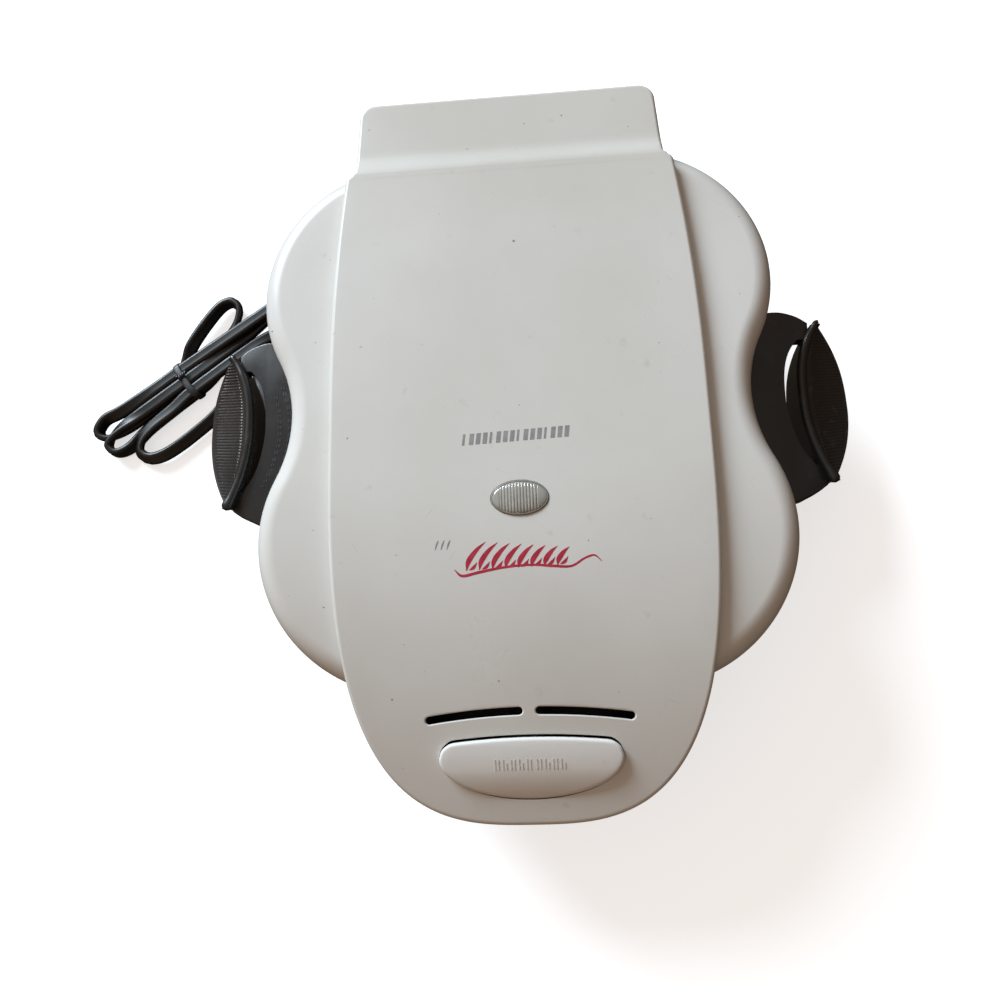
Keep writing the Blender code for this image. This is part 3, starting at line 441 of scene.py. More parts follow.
def cover_rim(x, y):
    """Lower edge of the cover: on the lobes with hardly a gap, and down to the rim where it overhangs."""
    depth = lobe_depth(x, y)
    if depth > -0.0004:
        drop = max(0.0, SHOULDER_R - depth)
        sunk = SHOULDER_R - sqrt(max(0.0, SHOULDER_R ** 2 - drop ** 2))
        return min(lobe_height(x, y) - sunk + 0.0002, cover_height(x, y) - COVER_EDGE_R - 0.0004)
    return HOOD_RIM if y > 0 else LID_RIM + 0.0003


def lowered(height, amount):
    return lambda x, y: height(x, y) - amount


# ---- mesh tools
def finish_mesh(name, bm):
    bmesh.ops.recalc_face_normals(bm, faces=bm.faces)
    mesh = bpy.data.meshes.new(name)
    bm.to_mesh(mesh)
    bm.free()
    return mesh


def wall(bm, low, high):
    """Faces all round, between two closed rings of vertices."""
    for i in range(len(low)):
        j = (i + 1) % len(low)
        bm.faces.new((low[i], low[j], high[j], high[i]))


def grid_faces(bm, grid):
    for left, right in zip(grid, grid[1:]):
        for j in range(len(left) - 1):
            bm.faces.new((left[j], right[j], right[j + 1], left[j + 1]))


def skin(name, outline, loops, first_cap=None, last_cap=None):
    """A closed skin over loops of an outline, each end flat or following a height."""
    bm = bmesh.new()
    rings = [[bm.verts.new(point) for point in loop] for loop in loops]
    for low, high in zip(rings, rings[1:]):
        wall(bm, low, high)
    for ring, cap in ((rings[0], first_cap), (rings[-1], last_cap)):
        if cap is None:
            bm.faces.new(ring)
        else:
            fill_rows(bm, outline, ring, cap)
    return finish_mesh(name, bm)


def fill_rows(bm, outline, ring, height):
    columns, rows = outline.columns, outline.rows
    total = len(ring)
    grid = [[None] * (rows + 1) for _ in range(columns + 1)]
    for i in range(columns + 1):
        grid[i][0] = ring[i]
        grid[i][rows] = ring[columns + rows + (columns - i)]
    for j in range(rows + 1):
        grid[columns][j] = ring[columns + j]
        grid[0][j] = ring[(2 * columns + rows + (rows - j)) % total]
    for j in range(1, rows):
        left, right = grid[0][j].co, grid[columns][j].co
        for i in range(1, columns):
            x, y, _ = left.lerp(right, i / columns)
            grid[i][j] = bm.verts.new((x, y, height(x, y)))
    grid_faces(bm, grid)


def shoulder(outline, height, radius, steps, start=0.0):
    loops = []
    for i in range(steps + 1):
        angle = radians(90 * i / steps)
        inset = start + radius * (1 - cos(angle))
        loops.append(outline.loop(inset, lowered(height, radius * (1 - sin(angle)))))
    return loops


def loft(name, rings, closed=False):
    bm = bmesh.new()
    made = [[bm.verts.new(point) for point in ring] for ring in rings]
    for low, high in list(zip(made, made[1:])) + ([(made[-1], made[0])] if closed else []):
        wall(bm, low, high)
    if not closed:
        bm.faces.new(made[0])
        bm.faces.new(made[-1])
    return finish_mesh(name, bm)


def upright(outline, low, high):
    """Rings for a straight wall round an outline of (x, y) points."""
    return [[(x, y, z) for x, y in outline] for z in (low, high)]


def turned(name, profile, steps, center):
    """A round shape about an upright line, from (radius, height) pairs."""
    rings = []
    for radius, z in profile:
        rings.append([(center[0] + x, center[1] + y, z) for x, y in ellipse(radius, radius, steps, 0.5)])
    return loft(name, rings)


def join_meshes(name, meshes):
    bm = bmesh.new()
    for mesh in meshes:
        bm.from_mesh(mesh)
        bpy.data.meshes.remove(mesh)
    mesh = bpy.data.meshes.new(name)
    bm.to_mesh(mesh)
    bm.free()
    return mesh


def boolean(mesh, tool_mesh, operation="DIFFERENCE"):
    """`mesh` cut by, or joined with, a tool mesh."""
    made, tool = linked("work", mesh), linked("tool", tool_mesh)
    change = made.modifiers.new("change", "BOOLEAN")
    change.operation, change.object, change.solver = operation, tool, "EXACT"
    bpy.context.view_layer.update()
    result = bpy.data.meshes.new_from_object(made.evaluated_get(bpy.context.evaluated_depsgraph_get()))
    for item in (made, tool):
        bpy.data.objects.remove(item, do_unlink=True)
    return result


def sweep(path, profile):
    """A tube along a path, where `profile(i, share)` gives the (across, up) pairs of its ring at point i."""
    rings = []
    points = [Vector(p) for p in path]
    last = len(points) - 1
    for i, point in enumerate(points):
        along = (points[min(i + 1, last)] - points[max(i - 1, 0)]).normalized()
        across = along.cross(UP).normalized()
        lift = across.cross(along)
        rings.append([tuple(point + across * a + lift * b) for a, b in profile(i, i / last)])
    return loft("sweep", rings)


def smooth_route(route, count):
    """Evenly spaced points on one smooth curve through the route's points, of any dimension."""
    points = [tuple(p) for p in route]
    first = tuple(2 * a - b for a, b in zip(points[0], points[1]))
    last = tuple(2 * a - b for a, b in zip(points[-1], points[-2]))
    points = [first] + points + [last]
    dense, between = [], 24
    for four in zip(points, points[1:], points[2:], points[3:]):
        for i in range(between):
            t = i / between
            dense.append(tuple(0.5 * (2 * b + (c - a) * t + (2 * a - 5 * b + 4 * c - d) * t * t
                                      + (3 * b - a - 3 * c + d) * t ** 3) for a, b, c, d in zip(*four)))
    dense.append(points[-2])
    return evenly(dense, count)


def piece(name, mesh, finish, body, replaces, sharp=35):
    mesh.transform(Matrix.Translation((0, WAIST_Y, 0)))
    mesh.materials.clear()
    mesh.materials.append(finish)
    mesh.shade_smooth()
    mesh.set_sharp_from_angle(angle=radians(sharp))
    mesh.name = name
    made = linked(name, mesh)
    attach(made, body)
    if replaces:
        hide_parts(*replaces)
    return made


def shade_evenly(made):
    """Keeps the flat faces beside a rounded edge from taking on the edge's shading."""
    even = made.modifiers.new("even_shading", "WEIGHTED_NORMAL")
    even.keep_sharp = True


# ---- cord
HANK_AT = Vector((-0.150, 0.095))
HANK_RUN = Vector((-0.810, -0.586))
CORD_W, CORD_T = 0.0080, 0.0046


def in_hank(s, w, z, roll=0.0):
    """A route point in mm along the bundle, towards the rear left and up, with its roll in degrees."""
    side = Vector((HANK_RUN.y, -HANK_RUN.x))
    spot = HANK_AT + HANK_RUN * s / 1000 + side * w / 1000
    return (spot.x, spot.y, z / 1000, roll)


def along_hank(*points):
    return [in_hank(*point) for point in points]


def on_table(*points):
    """Route points off the bundle, in mm, with a roll in degrees where the cord is turned."""
    return [(x / 1000, y / 1000, z / 1000, *(roll or (0.0,))) for x, y, z, *roll in points]


CORD_ROUTE = [
    (*EXIT, 0),
    *on_table((-141, 112.6, 12.2), (-150, 112, 9.6), (-158, 106.5, 8.4)),
    *along_hank((14, 10, 7.8), (32, 9.2, 7.6), (58, 9, 7.6), (88, 9, 7.6), (112, 10, 7.4, 30),
                (124, 12, 7, 65), (132, 8, 6.2, 80), (129, 2, 5.2, 70), (118, 0.5, 3.6, 30), (100, 1, 2.9),
                (84, 2.5, 2.7), (71, 8, 2.7, -10), (62, 15, 3.2, -30)),
    *on_table((-206, 79, 5.0, -45), (-197, 93, 5.6, -55), (-188, 104, 5.6, -65), (-180.5, 106.5, 5.6, -75),
              (-176.3, 101, 5.6, -70), (-178.5, 91.5, 5.0, -55), (-184, 81.5, 4.2, -35)),
    *along_hank((47, -1.5, 2.9, -10), (62, -6.2, 2.7), (84, -7, 2.7), (106, -8, 2.9, 20),
                (121, -11.5, 4.2, 60), (130, -9.5, 5.4, 80), (131, -2.6, 6.4, 80), (121, 1.2, 7.2, 40),
                (104, 1, 7.6), (80, 1, 7.6), (52, 1, 7.6), (26, 1, 7.6), (8, 2.5, 7.4, 20), (-5, 3, 6.8, 60),
                (-12, -3, 6.6, 80), (-8, -10.5, 6.8, 60), (4, -10, 7.2, 20), (22, -7.4, 7.6), (50, -7, 7.6),
                (72, -7.2, 7.6), (86, -9.0, 7.0, -5)),
    *on_table((-228.5, 26.5, 6.0, -15), (-235, 18.0, 5.2, -35), (-234.8, 10.4, 5.0, -50),
              (-228.5, 6.6, 5.0, -50), (-220, 8.2, 5.0, -45), (-210.5, 14.0, 4.6, -40),
              (-199.5, 22.5, 4.4, -35), (-189, 31.5, 4.6, -30), (-181, 41, 5.2, -30), (-176, 52, 5.8, -40),
              (-171, 60.2, 6.2, -55), (-165, 61, 6.6, -50), (-161, 54, 7.0, -20), (-158, 45, 7.6),
              (-154.4, 37.2, 8.3), (-153, 32.5, 8.5), (-153, 29.2, 8.5)),
]


def cord_profile(half_w, half_t, turn):
    """Two round conductors side by side in one flat jacket, turned about the cord's own line."""
    points = []
    for a, b in squared_ellipse(half_w, half_t, 0.72, 20):
        b *= 1.0 - 0.30 * exp(-(a / (0.26 * half_w)) ** 2)
        points.append((a * cos(turn) - b * sin(turn), a * sin(turn) + b * cos(turn)))
    return points


def make_cord(jacket, tie_finish):
    line = smooth_route(CORD_ROUTE, 620)

    def profile(i, share):
        return cord_profile(CORD_W / 2, CORD_T / 2, radians(line[i][3]))

    path = [(x, y, z) for x, y, z, _ in line]
    nodes = ("cord_lead", "cord_hank", "cord_loop", "cord_tail")
    cord = piece("mains_cord", sweep(path, profile), jacket, "base", nodes, 60)
    plug = make_plug(jacket)
    tie = make_tie(tie_finish)
    make_sleeve(jacket)


def make_plug(jacket):
    """A moulded plug with a segmented neck and a flat face, from (distance back, half width, half height)."""
    x, y, z = PLUG_AT
    stations = mm((17.0, 5.0, 4.2), (16.6, 5.5, 4.8), (15.0, 6.0, 5.0), (14.8, 5.2, 4.4), (13.8, 5.2, 4.4),
                  (13.6, 6.4, 5.3), (12.2, 6.6, 5.5), (12.0, 5.7, 4.8), (11.0, 5.8, 4.9), (10.8, 7.5, 6.0),
                  (7.0, 9.2, 6.8), (0.0, 10.4, 7.3), (-6.0, 11.5, 7.6), (-10.0, 12.0, 7.8),
                  (-10.8, 11.9, 7.7), (-11.0, 11.5, 7.3))
    rings = []
    for back, half_x, half_z in stations:
        rings.append([(x + a, y + back, z + b) for a, b in squared_ellipse(half_x, half_z, 0.7, 40)])
    return piece("plug_moulding", loft("plug", rings), jacket, "base", ("plug_body",), 40)


def tie_band(at_s, half_w, half_z, steps=72):
    """A flat band round the bundle, leaning a little along it."""
    band = []
    for (w, z), (_, lean) in zip(squared_ellipse(half_w, half_z, 0.55, steps), ellipse(1.5, 1.5, steps)):
        band.append(Vector(in_hank(at_s + lean, w + 0.8, 5.5 + z)[:3]))
    along = Vector((HANK_RUN.x, HANK_RUN.y, 0))
    rings = []
    for i, spot in enumerate(band):
        ahead = (band[(i + 1) % steps] - band[i - 1]).normalized()
        out = ahead.cross(along).normalized()
        rings.append([tuple(spot + along * a + out * b) for a, b in ellipse(0.0021, 0.00045, 12)])
    return loft("band", rings, closed=True)


def make_tie(finish):
    """A wire tie round the bundle, with its two ends twisted together on top."""
    meshes = [tie_band(69, 13.1, 5.1)]
    for turn in (0.0, pi):
        path = []
        for i in range(40):
            share = i / 39
            angle = turn + share * 14
            spread = 0.7 + max(0.0, share - 0.7) * 4
            path.append(in_hank(66.5 + share * 6 + 0.2 * sin(angle), 3.5 + spread * cos(angle),
                                11.6 + spread * 0.5 * sin(angle))[:3])
        meshes.append(sweep(path, lambda i, share: ellipse(0.0007, 0.0004, 8)))
    return piece("wire_tie", join_meshes("tie", meshes), finish, "base", (), 50)


def sleeve_ring(share, radius):
    """A ring round the cord's sleeve, at a share of the way along it."""
    start, end = Vector(SLEEVE_START), Vector(EXIT)
    along = (end - start).normalized()
    across = along.cross(UP).normalized()
    up = across.cross(along)
    center = start + (end - start) * share
    return [tuple(center + across * a + up * b) for a, b in ellipse(radius, radius, 32)]


def make_sleeve(jacket):
    """A tapered strain relief with segments cut round it."""
    rings = []
    for k in range(97):
        share = k / 96
        radius = SLEEVE_R - max(0.0, share - 0.3) / 0.7 * 0.0016
        if 0.36 < share < 0.95 and (share * 26) % 1 > 0.62:
            radius -= 0.0009
        rings.append(sleeve_ring(share, radius))
    piece("strain_relief_sleeve", loft("sleeve", rings), jacket, "base", ("strain_relief",), 30)


# ---- lid
def make_lid_shell(finish):
    outline = lobed_outline()
    outer = shoulder(outline, lobe_height, SHOULDER_R, 12)
    inner = shoulder(outline, lowered(lobe_height, LID_WALL), SHOULDER_R - LID_WALL, 6, LID_WALL)
    rim = [(LID_WALL, LID_RIM), (0.0006, LID_RIM), (0.0, LID_RIM + 0.0006), (0.0, 0.060), (0.0, 0.0640)]
    loops = inner[::-1] + [outline.loop(inset, z) for inset, z in rim] + outer
    mesh = skin("shell", outline, loops, lowered(lobe_height, LID_WALL), lobe_height)
    hole = turned("hole", [(0.0050, 0.080), (0.0050, 0.095)], 24, (0.0, LENS_Y))
    mesh = boolean(mesh, hole)
    shade_evenly(piece("lid_housing", mesh, finish, "lid", ("lid_shell",)))


def oval(half_x, half_y, y, steps=96):
    return [(a, y + b) for a, b in ellipse(half_x, half_y, steps)]


def slot_outline(side, grow=0.0):
    """A thin slot bent round a wide arc, with round ends."""
    arc_r, back_y, half = 0.310, -0.1435, 0.0018 + grow
    start, end = (0.0047, 0.0455)
    middles = [side * (start + (end - start) * i / 24) for i in range(25)]
    if side < 0:
        middles.reverse()
    line = [(x, back_y - x * x / (2 * arc_r)) for x in middles]
    points = [(x, y - half) for x, y in line]
    points += arc(line[-1], half, -90, 90, 8)[1:-1]
    points += [(x, y + half) for x, y in reversed(line)]
    return points + arc(line[0], half, 90, 270, 8)[1:-1]


def button_outline(grow=0.0, behind=0.0, columns=28, steps=24):
    """The button's outline, `grow` wider and, for its opening, `behind` further back."""
    back, widest, front = BUTTON_Y
    half, depth = BUTTON_W + grow, widest - front + grow
    soft = [(0.0340, -0.1569 + behind), (0.0365, -0.1574 + behind),
            (0.0385 + grow * 0.5, -0.1586 + behind * 0.7), (0.0402 + grow * 0.8, -0.1604 + behind * 0.4),
            (half, widest)]
    corner = smooth_route(soft, 12)
    curve = [(half * x, widest + depth * y) for x, y in arc((0.0, 0.0), 1.0, 0, -60, 60)]
    side = evenly(curve[::-1], steps) + corner[::-1][1:]
    (front_x, _), (back_x, side_y) = side[0], side[-1]
    front_row, back_row = [], []
    for t, _ in row(1, 0, columns):
        front_row.append((front_x * t, widest - depth * sqrt(1 - (front_x * t / half) ** 2)))
        back_row.append((back_x * t, back + behind - (back + behind - side_y) * t * t))
    return Outline(front_row, side, back_row)


def flared_cutter(name, ring_at, flare, depth=0.02):
    """A cutter whose mouth opens by `flare` at the cover's surface, so that it leaves a chamfered edge."""
    levels = [(0.0, -depth), (0.0, -flare), (flare * 0.35, -flare * 0.45), (flare * 1.1, 0.0),
              (flare * 2.2, flare)]
    rings = []
    for grow, rise in levels:
        rings.append([(x, y, cover_height(x, y) + rise) for x, y in ring_at(grow)])
    return loft(name, rings)


def make_cover(finish):
    outline = cover_outline()
    inner_height = lowered(cover_height, COVER_WALL)
    rim = [cover_rim(x, y) for x, y in outline.ring]
    rims = []
    for inset in (COVER_WALL, 0.0):
        rims.append([(x, y, z) for (x, y, _), z in zip(outline.loop(inset, 0.0), rim)])
    loops = [outline.loop(COVER_WALL, inner_height)] + rims + shoulder(outline, cover_height, COVER_EDGE_R, 6)
    mesh = skin("cover", outline, loops, inner_height, cover_height)
    side_gap, back_gap = BUTTON_GAP
    half_x, half_y = LENS_HALF
    tools = [flared_cutter("opening", lambda g: button_outline(side_gap + g, back_gap + g).ring, 0.0003),
             flared_cutter("lens", lambda g: oval(half_x + g, half_y + g, LENS_Y), 0.0002, 0.006)]
    for side in (-1, 1):
        tools.append(flared_cutter("slot", lambda g, s=side: slot_outline(s, g), 0.0005))
    mesh = boolean(mesh, join_meshes("cutters", tools))
    shade_evenly(piece("top_cover_panel", mesh, finish, "lid", ("top_cover",), 28))


def lens_height(x, u, v):
    """The lens's top at `u` and `v`, its shares of the way from the middle: a dome with ribs across it."""
    first, last = LENS_RIBS
    rib = 0.0
    if first < x < last and u * u + v * v < 0.90:
        rib = LENS_RIB_DEPTH * (0.5 + 0.5 * cos(2 * pi * (x - first) / LENS_RIB_PITCH)) ** 2
    return COVER_TOP + LENS_DOME * sqrt(max(0.0, 1.0 - u * u - v * v)) - rib


def make_lens(finish, rim_finish):
    """An oval lens with ribs across its middle and a domed top, in a thin raised rim."""
    half_x, half_y = LENS_HALF[0] - 0.0008, LENS_HALF[1] - 0.0007
    columns, rows = 150, 26
    bm = bmesh.new()
    grid = []
    for u, _ in row(0.9995, 0.0, columns):
        line = []
        for v, _ in row(sqrt(1 - u * u), 0.0, rows):
            x = half_x * u
            line.append(bm.verts.new((x, LENS_Y + half_y * v, lens_height(x, u, v))))
        grid.append(line)
    grid_faces(bm, grid)
    edge = [line[0] for line in grid] + grid[-1][1:-1] + [line[-1] for line in grid[::-1]] + grid[0][-2:0:-1]
    foot = [bm.verts.new((v.co.x, v.co.y, COVER_TOP - 0.0040)) for v in edge]
    wall(bm, edge, foot)
    bm.faces.new(foot)
    piece("lens_window", finish_mesh("lens", bm), finish, "lid", ("indicator_lens",), 40)
    rings = []
    for grow, z in mm((-0.3, 96.0), (-0.3, 97.25), (0.1, 97.5), (0.5, 97.38), (0.7, 97.1), (0.7, 96.0)):
        rings.append([(x, y, z) for x, y in oval(half_x + grow, half_y + grow, LENS_Y)])
    piece("lens_bezel", loft("bezel", rings, closed=True), rim_finish, "lid", (), 50)


def heating_plate(name, levels, added, cut, finish, body, node):
    """A plate over all four lobes, with a shape added and a shape cut away at the middle of each."""
    outline = lobed_outline(10, 20, 10)
    mesh = skin("plate", outline, [outline.loop(inset, z) for inset, z in levels])
    mesh = boolean(mesh, join_meshes("added", [added(center) for center in LOBE_CENTERS]), "UNION")
    mesh = boolean(mesh, join_meshes("cut", [cut(center) for center in LOBE_CENTERS]))
    piece(name, mesh, finish, body, (node,), 38)


def make_lid_plate(finish):
    """The lid's heating plate, with a hollow scalloped boss for each well."""
    low = LID_RIM - 0.0002
    high = low + PLATE_T
    floor = WELL_FLOOR + PLATE_T + PLATE_GAP - 0.0020
    rim_r, floor_r = WELL_R[0] - PLATE_GAP, WELL_R[1] - PLATE_GAP + 0.001
    boss = [(floor_r - 0.002, floor), (floor_r, floor + 0.0012), (rim_r, low + 0.0010),
            (rim_r, high - 0.0005)]
    hollow = [(floor_r - 0.0035, floor + PLATE_T), (rim_r - 0.0035, high + 0.001)]
    heating_plate("lid_heating_plate", [(0.0046, low), (0.0042, low + 0.0005), (0.0042, high)],
                  lambda center: fluted(boss, center, 0.0007),
                  lambda center: turned("hollow", hollow, 48, center), finish, "lid", "upper_plate")


def fluted(profile, center, depth, flutes=24, steps=144):
    """A turned shape whose wall is scalloped all round, smooth at its first level."""
    rings = []
    for k, (radius, z) in enumerate(profile):
        amount = depth if k else 0.0
        ring = []
        for i in range(steps):
            angle = 2 * pi * i / steps
            r = radius + amount * cos(flutes * angle)
            ring.append((center[0] + r * cos(angle), center[1] + r * sin(angle), z))
        rings.append(ring)
    return loft("fluted", rings)


# ---- prints on the cover
def decal(name, outlines, finish, body="lid", height=cover_height, lift=0.00006, depth=0.0004):
    """Flat shapes that lie on the surface, each given as a closed outline of (x, y) points."""
    bm = bmesh.new()
    for outline in outlines:
        top = [bm.verts.new((x, y, height(x, y) + lift)) for x, y in outline]
        low = [bm.verts.new((x, y, height(x, y) - depth)) for x, y in outline]
        bm.faces.new(top)
        bm.faces.new(low)
        wall(bm, top, low)
    piece(name, finish_mesh(name, bm), finish, body, (), 30)


def stroke(points, widths):
    """The outline of a brush stroke along a smooth route, `widths` wide at its points."""
    route = [(x, y, w) for (x, y), w in zip(points, widths)]
    line = smooth_route(route, 12 * (len(route) - 1))
    left, right = [], []
    for i, (x, y, w) in enumerate(line):
        x0, y0, _ = line[max(0, i - 1)]
        x1, y1, _ = line[min(len(line) - 1, i + 1)]
        length = hypot(x1 - x0, y1 - y0)
        nx, ny = -(y1 - y0) / length, (x1 - x0) / length
        left.append((x + nx * w / 2, y + ny * w / 2))
        right.append((x - nx * w / 2, y - ny * w / 2))
    return left + list(reversed(right))


def bar(x0, x1, low, high, lean=0.0):
    return [(x0, low), (x1, low), (x1 + lean, high), (x0 + lean, high)]


def make_bars(grey):
    """A row of plain grey bars behind the lens, every fourth one thin."""
    tall, lean = 0.0054, 0.0007
    bars = []
    for i in range(16):
        x, y = -0.0261 + 0.00318 * i, -0.0226 + 0.00012 * i
        w = 0.0021 if i % 4 else 0.0011
        bars.append(bar(x, x + w, y, y + tall, lean))
    decal("grey_bars", bars, grey)


def make_sprig(red):
    """A red sprig in front of the lens: a lying stem with eight leaves, each with a small shoot."""
    stem = mm((-31.0, -80.2), (-27.5, -83.2), (-20.0, -81.9), (-8.0, -80.0), (4.0, -79.4), (14.0, -80.3),
              (22.0, -80.6), (28.0, -77.4), (32.5, -76.2), (35.6, -78.9))
    strokes = [stroke(stem, [0.0003, 0.0012, 0.0013, 0.0011, 0.0010, 0.0012, 0.0010, 0.0009, 0.0008, 0.0002])]
    for i in range(8):
        x, tall = -25.5 + 5.9 * i, 11.4 - 0.62 * i
        base = -81.0 + 0.16 * i
        leaf = mm((x, base), (x + 0.10 * tall, base + 0.38 * tall), (x + 0.42 * tall, base + 0.80 * tall),
                  (x + 0.80 * tall, base + 1.12 * tall))
        shoot = mm((x + 1.2, base + 0.3), (x + 3.2, base + 1.3), (x + 4.9, base + 3.6))
        strokes.append(stroke(leaf, [0.0004, 0.0023, 0.0018, 0.0002]))
        strokes.append(stroke(shoot, [0.0003, 0.0015, 0.0002]))
    decal("red_sprig", strokes, red)


def make_ticks(grey):
    """Three thin grey ticks to the left of the sprig."""
    ticks = []
    for i in range(3):
        x = -39.6 + 2.7 * i
        ticks.append(stroke(mm((x, -71.0), (x + 0.8, -68.6), (x + 1.6, -66.8)), [0.0003, 0.0008, 0.0003]))
    decal("grey_ticks", ticks, grey)


# ---- release button
def button_height(x, y):
    """The button's top, domed from front to back, above the cover's own slope."""
    back, _, front = BUTTON_Y
    crown, back_rise, front_rise = BUTTON_RISE
    t = max(0.0, min(1.0, (y - front) / (back - front)))
    drop = crown - (front_rise if t < 0.5 else back_rise)
    return cover_height(x, y) + crown - drop * (2.0 * t - 1.0) ** 2


def make_button(finish):
    outline = button_outline(0.0003)
    bottom = lowered(button_height, BUTTON_DEPTH)
    edge = shoulder(outline, button_height, 0.0016, 6)
    mesh = skin("button", outline, [outline.loop(0.0, bottom)] + edge, bottom, button_height)
    piece("release_button_cap", mesh, finish, "button", ("release_button",), 40)


def make_button_marks(finish):
    """Two groups of small raised bars across the button, where such a button has its label."""
    bars = []
    low, high, width, pitch = -0.1690, -0.1645, 0.0005, 0.0036
    for start, count in ((-0.0165, 5), (0.0024, 4)):
        for i in range(count):
            for shift, top in ((0.0, high), (0.0016, high - 0.0016 * (i % 2))):
                x = start + pitch * i + shift
                bars.append(bar(x, x + width, low, top))
    decal("button_marks", bars, finish, "button", button_height, 0.00022, 0.0005)


# ---- base
def make_base_shell(finish):
    """The black tub, with four vents in its floor and a hole for the cord's sleeve."""
    outline = lobed_outline()
    outer = [(0.0150, BASE_FLOOR), (0.0137, BASE_FLOOR + 0.0002), (0.0125, BASE_FLOOR + 0.0010),
             (0.0113, BASE_FLOOR + 0.0022), (0.0105, BASE_FLOOR + 0.0037)]
    outer += mm((7.5, 17.2), (4.5, 26.5), (2.8, 33.0), (1.7, 40.0), (1.1, 45.0))
    outer += [(0.0010, BASE_RIM - 0.0004), (0.0013, BASE_RIM)]
    inner = [(0.0034, BASE_RIM), (0.0042, 0.0400), (0.0070, 0.0265), (0.0140, BASE_FLOOR + BASE_WALL)]
    mesh = skin("tub", outline, [outline.loop(inset, z) for inset, z in outer + inner])
    tools = []
    half_length, end_r = 0.042, 0.003
    for x in (-0.030, -0.010, 0.010, 0.030):
        ends = arc((x, half_length), end_r, 0, 180, 8) + arc((x, -half_length), end_r, 180, 360, 8)
        tools.append(loft("vent", upright(ends, 0.003, 0.009)))
    tools.append(loft("hole", [sleeve_ring(share, SLEEVE_R + 0.0003) for share in (-0.1, 0.5)]))
    mesh = boolean(mesh, join_meshes("cutters", tools))
    piece("base_tub", mesh, finish, "base", ("base_shell",))


def nose_ring(half, reach, z, steps=36):
    """The nose's outline at one height, blunt in front and flat against the base."""
    back_y = -(LOBE_Y + LOBE_R + 0.0004)
    start_y = back_y - 0.006
    points = [(0.0560, back_y)]
    for i in range(steps + 1):
        angle = radians(90 * i / steps)
        x = half * cos(angle) ** 0.6 if i < steps else 0.0
        points.append((x, start_y + (reach - start_y) * sin(angle) ** 0.9))
    mirrored = [(-x, y) for x, y in reversed(points[:-1])]
    return [(x, y, z) for x, y in points + mirrored]


def make_nose(finish):
    """The nose under the lid's tongue, with its hollow top."""
    outer = mm((48.5, -156.0, 20.0), (50.5, -159.0, 20.4), (60.0, -172.0, 26.0), (66.5, -179.5, 31.5),
               (71.0, -185.0, 38.0), (73.2, -187.8, 44.0)) + [(0.0740, -0.1890, BASE_RIM)]
    inner = [(0.0712, -0.1862, BASE_RIM)] + mm((68.0, -182.0, 38.0), (57.0, -169.0, 29.0))
    rings = [nose_ring(*level) for level in outer]
    for level in inner:
        ring = []
        for x, y, z in nose_ring(*level):
            ring.append((x * 0.965, y - 0.0026, z) if abs(y) < 0.137 else (x, y, z))
        rings.append(ring)
    piece("latch_housing", loft("nose", rings), finish, "base", ("front_nose",), 30)


def make_base_plate(finish):
    """The base's heating plate, with a scalloped well in each lobe."""
    low, high = BASE_RIM - PLATE_T, BASE_RIM
    rim_r, floor_r = WELL_R
    cup = [(floor_r + 0.001, WELL_FLOOR - PLATE_T), (floor_r + 0.002, WELL_FLOOR - 0.002),
           (rim_r + 0.0025, low + 0.0005), (rim_r + 0.0025, high - 0.0005)]
    well = [(floor_r - 0.0022, WELL_FLOOR), (floor_r - 0.0004, WELL_FLOOR + 0.0008),
            (floor_r + 0.0006, WELL_FLOOR + 0.0024), (rim_r - 0.0008, high - 0.0016),
            (rim_r - 0.0002, high - 0.0006), (rim_r + 0.0012, high + 0.001)]
    heating_plate("base_heating_plate", [(0.0048, low), (0.0048, high - 0.0005), (0.0053, high)],
                  lambda center: fluted(cup, center, 0.0006), lambda center: fluted(well, center, 0.0009),
                  finish, "base", "lower_plate")


def grip_line(u):
    """Middle of a grip's bead and outer edge of its leaf at u = -1 (front) to 1 (back)."""
    swing = abs(u) ** (2.0 if u < 0 else 2.8)
    return 0.1474 + 0.0108 * swing, 0.1747 - 0.0165 * swing


def grip_slot_side(reach, rounding, taper, direction, steps=28):
    """One side of the slot, `reach` inside the bead's middle, and `taper` nearer to it at the front end."""
    middle, half = GRIP_SLOT
    points = []
    for i in range(steps + 1):
        v = direction * sin(pi / 2 * (2 * i / steps - 1))
        y = middle + half * v
        bead = grip_line((y - GRIP_Y) / GRIP_HALF)[0]
        points.append((bead - reach + rounding * v ** 6 + taper * max(0.0, -v), y))
    return points


def mirror_x(mesh, side):
    if side < 0:
        mesh.transform(Matrix.Scale(-1, 4, (1, 0, 0)))
        mesh.flip_normals()
    return mesh


def grip_y(u):
    return GRIP_Y + GRIP_HALF * u


def grip_plate_line():
    """The plate's outline: along the base, out behind the grip, along its bead and back in at the front."""
    line = [(x + 0.0003, y) for x, y in lobed_outline().ring if x > 0.100 and -0.0465 < y < 0.0570]
    (front_x, _), (back_x, _) = line[0], line[-1]
    behind = mm((137.5, 57.6), (143.3, 56.9), (150.0, 54.2), (155.3, 50.3))
    before = mm((155.8, -38.6), (151.0, -42.0), (146.0, -44.5), (139.6, -46.9))
    line += smooth_route([(back_x, 0.0570)] + behind, 16)[1:]
    line += [(grip_line(u)[0] - 0.0005, grip_y(u)) for u in (0.9, 0.6, 0.3, 0.0, -0.3, -0.6, -0.9)]
    return line + smooth_route(before + [(front_x, -0.0469)], 16)[:-1]


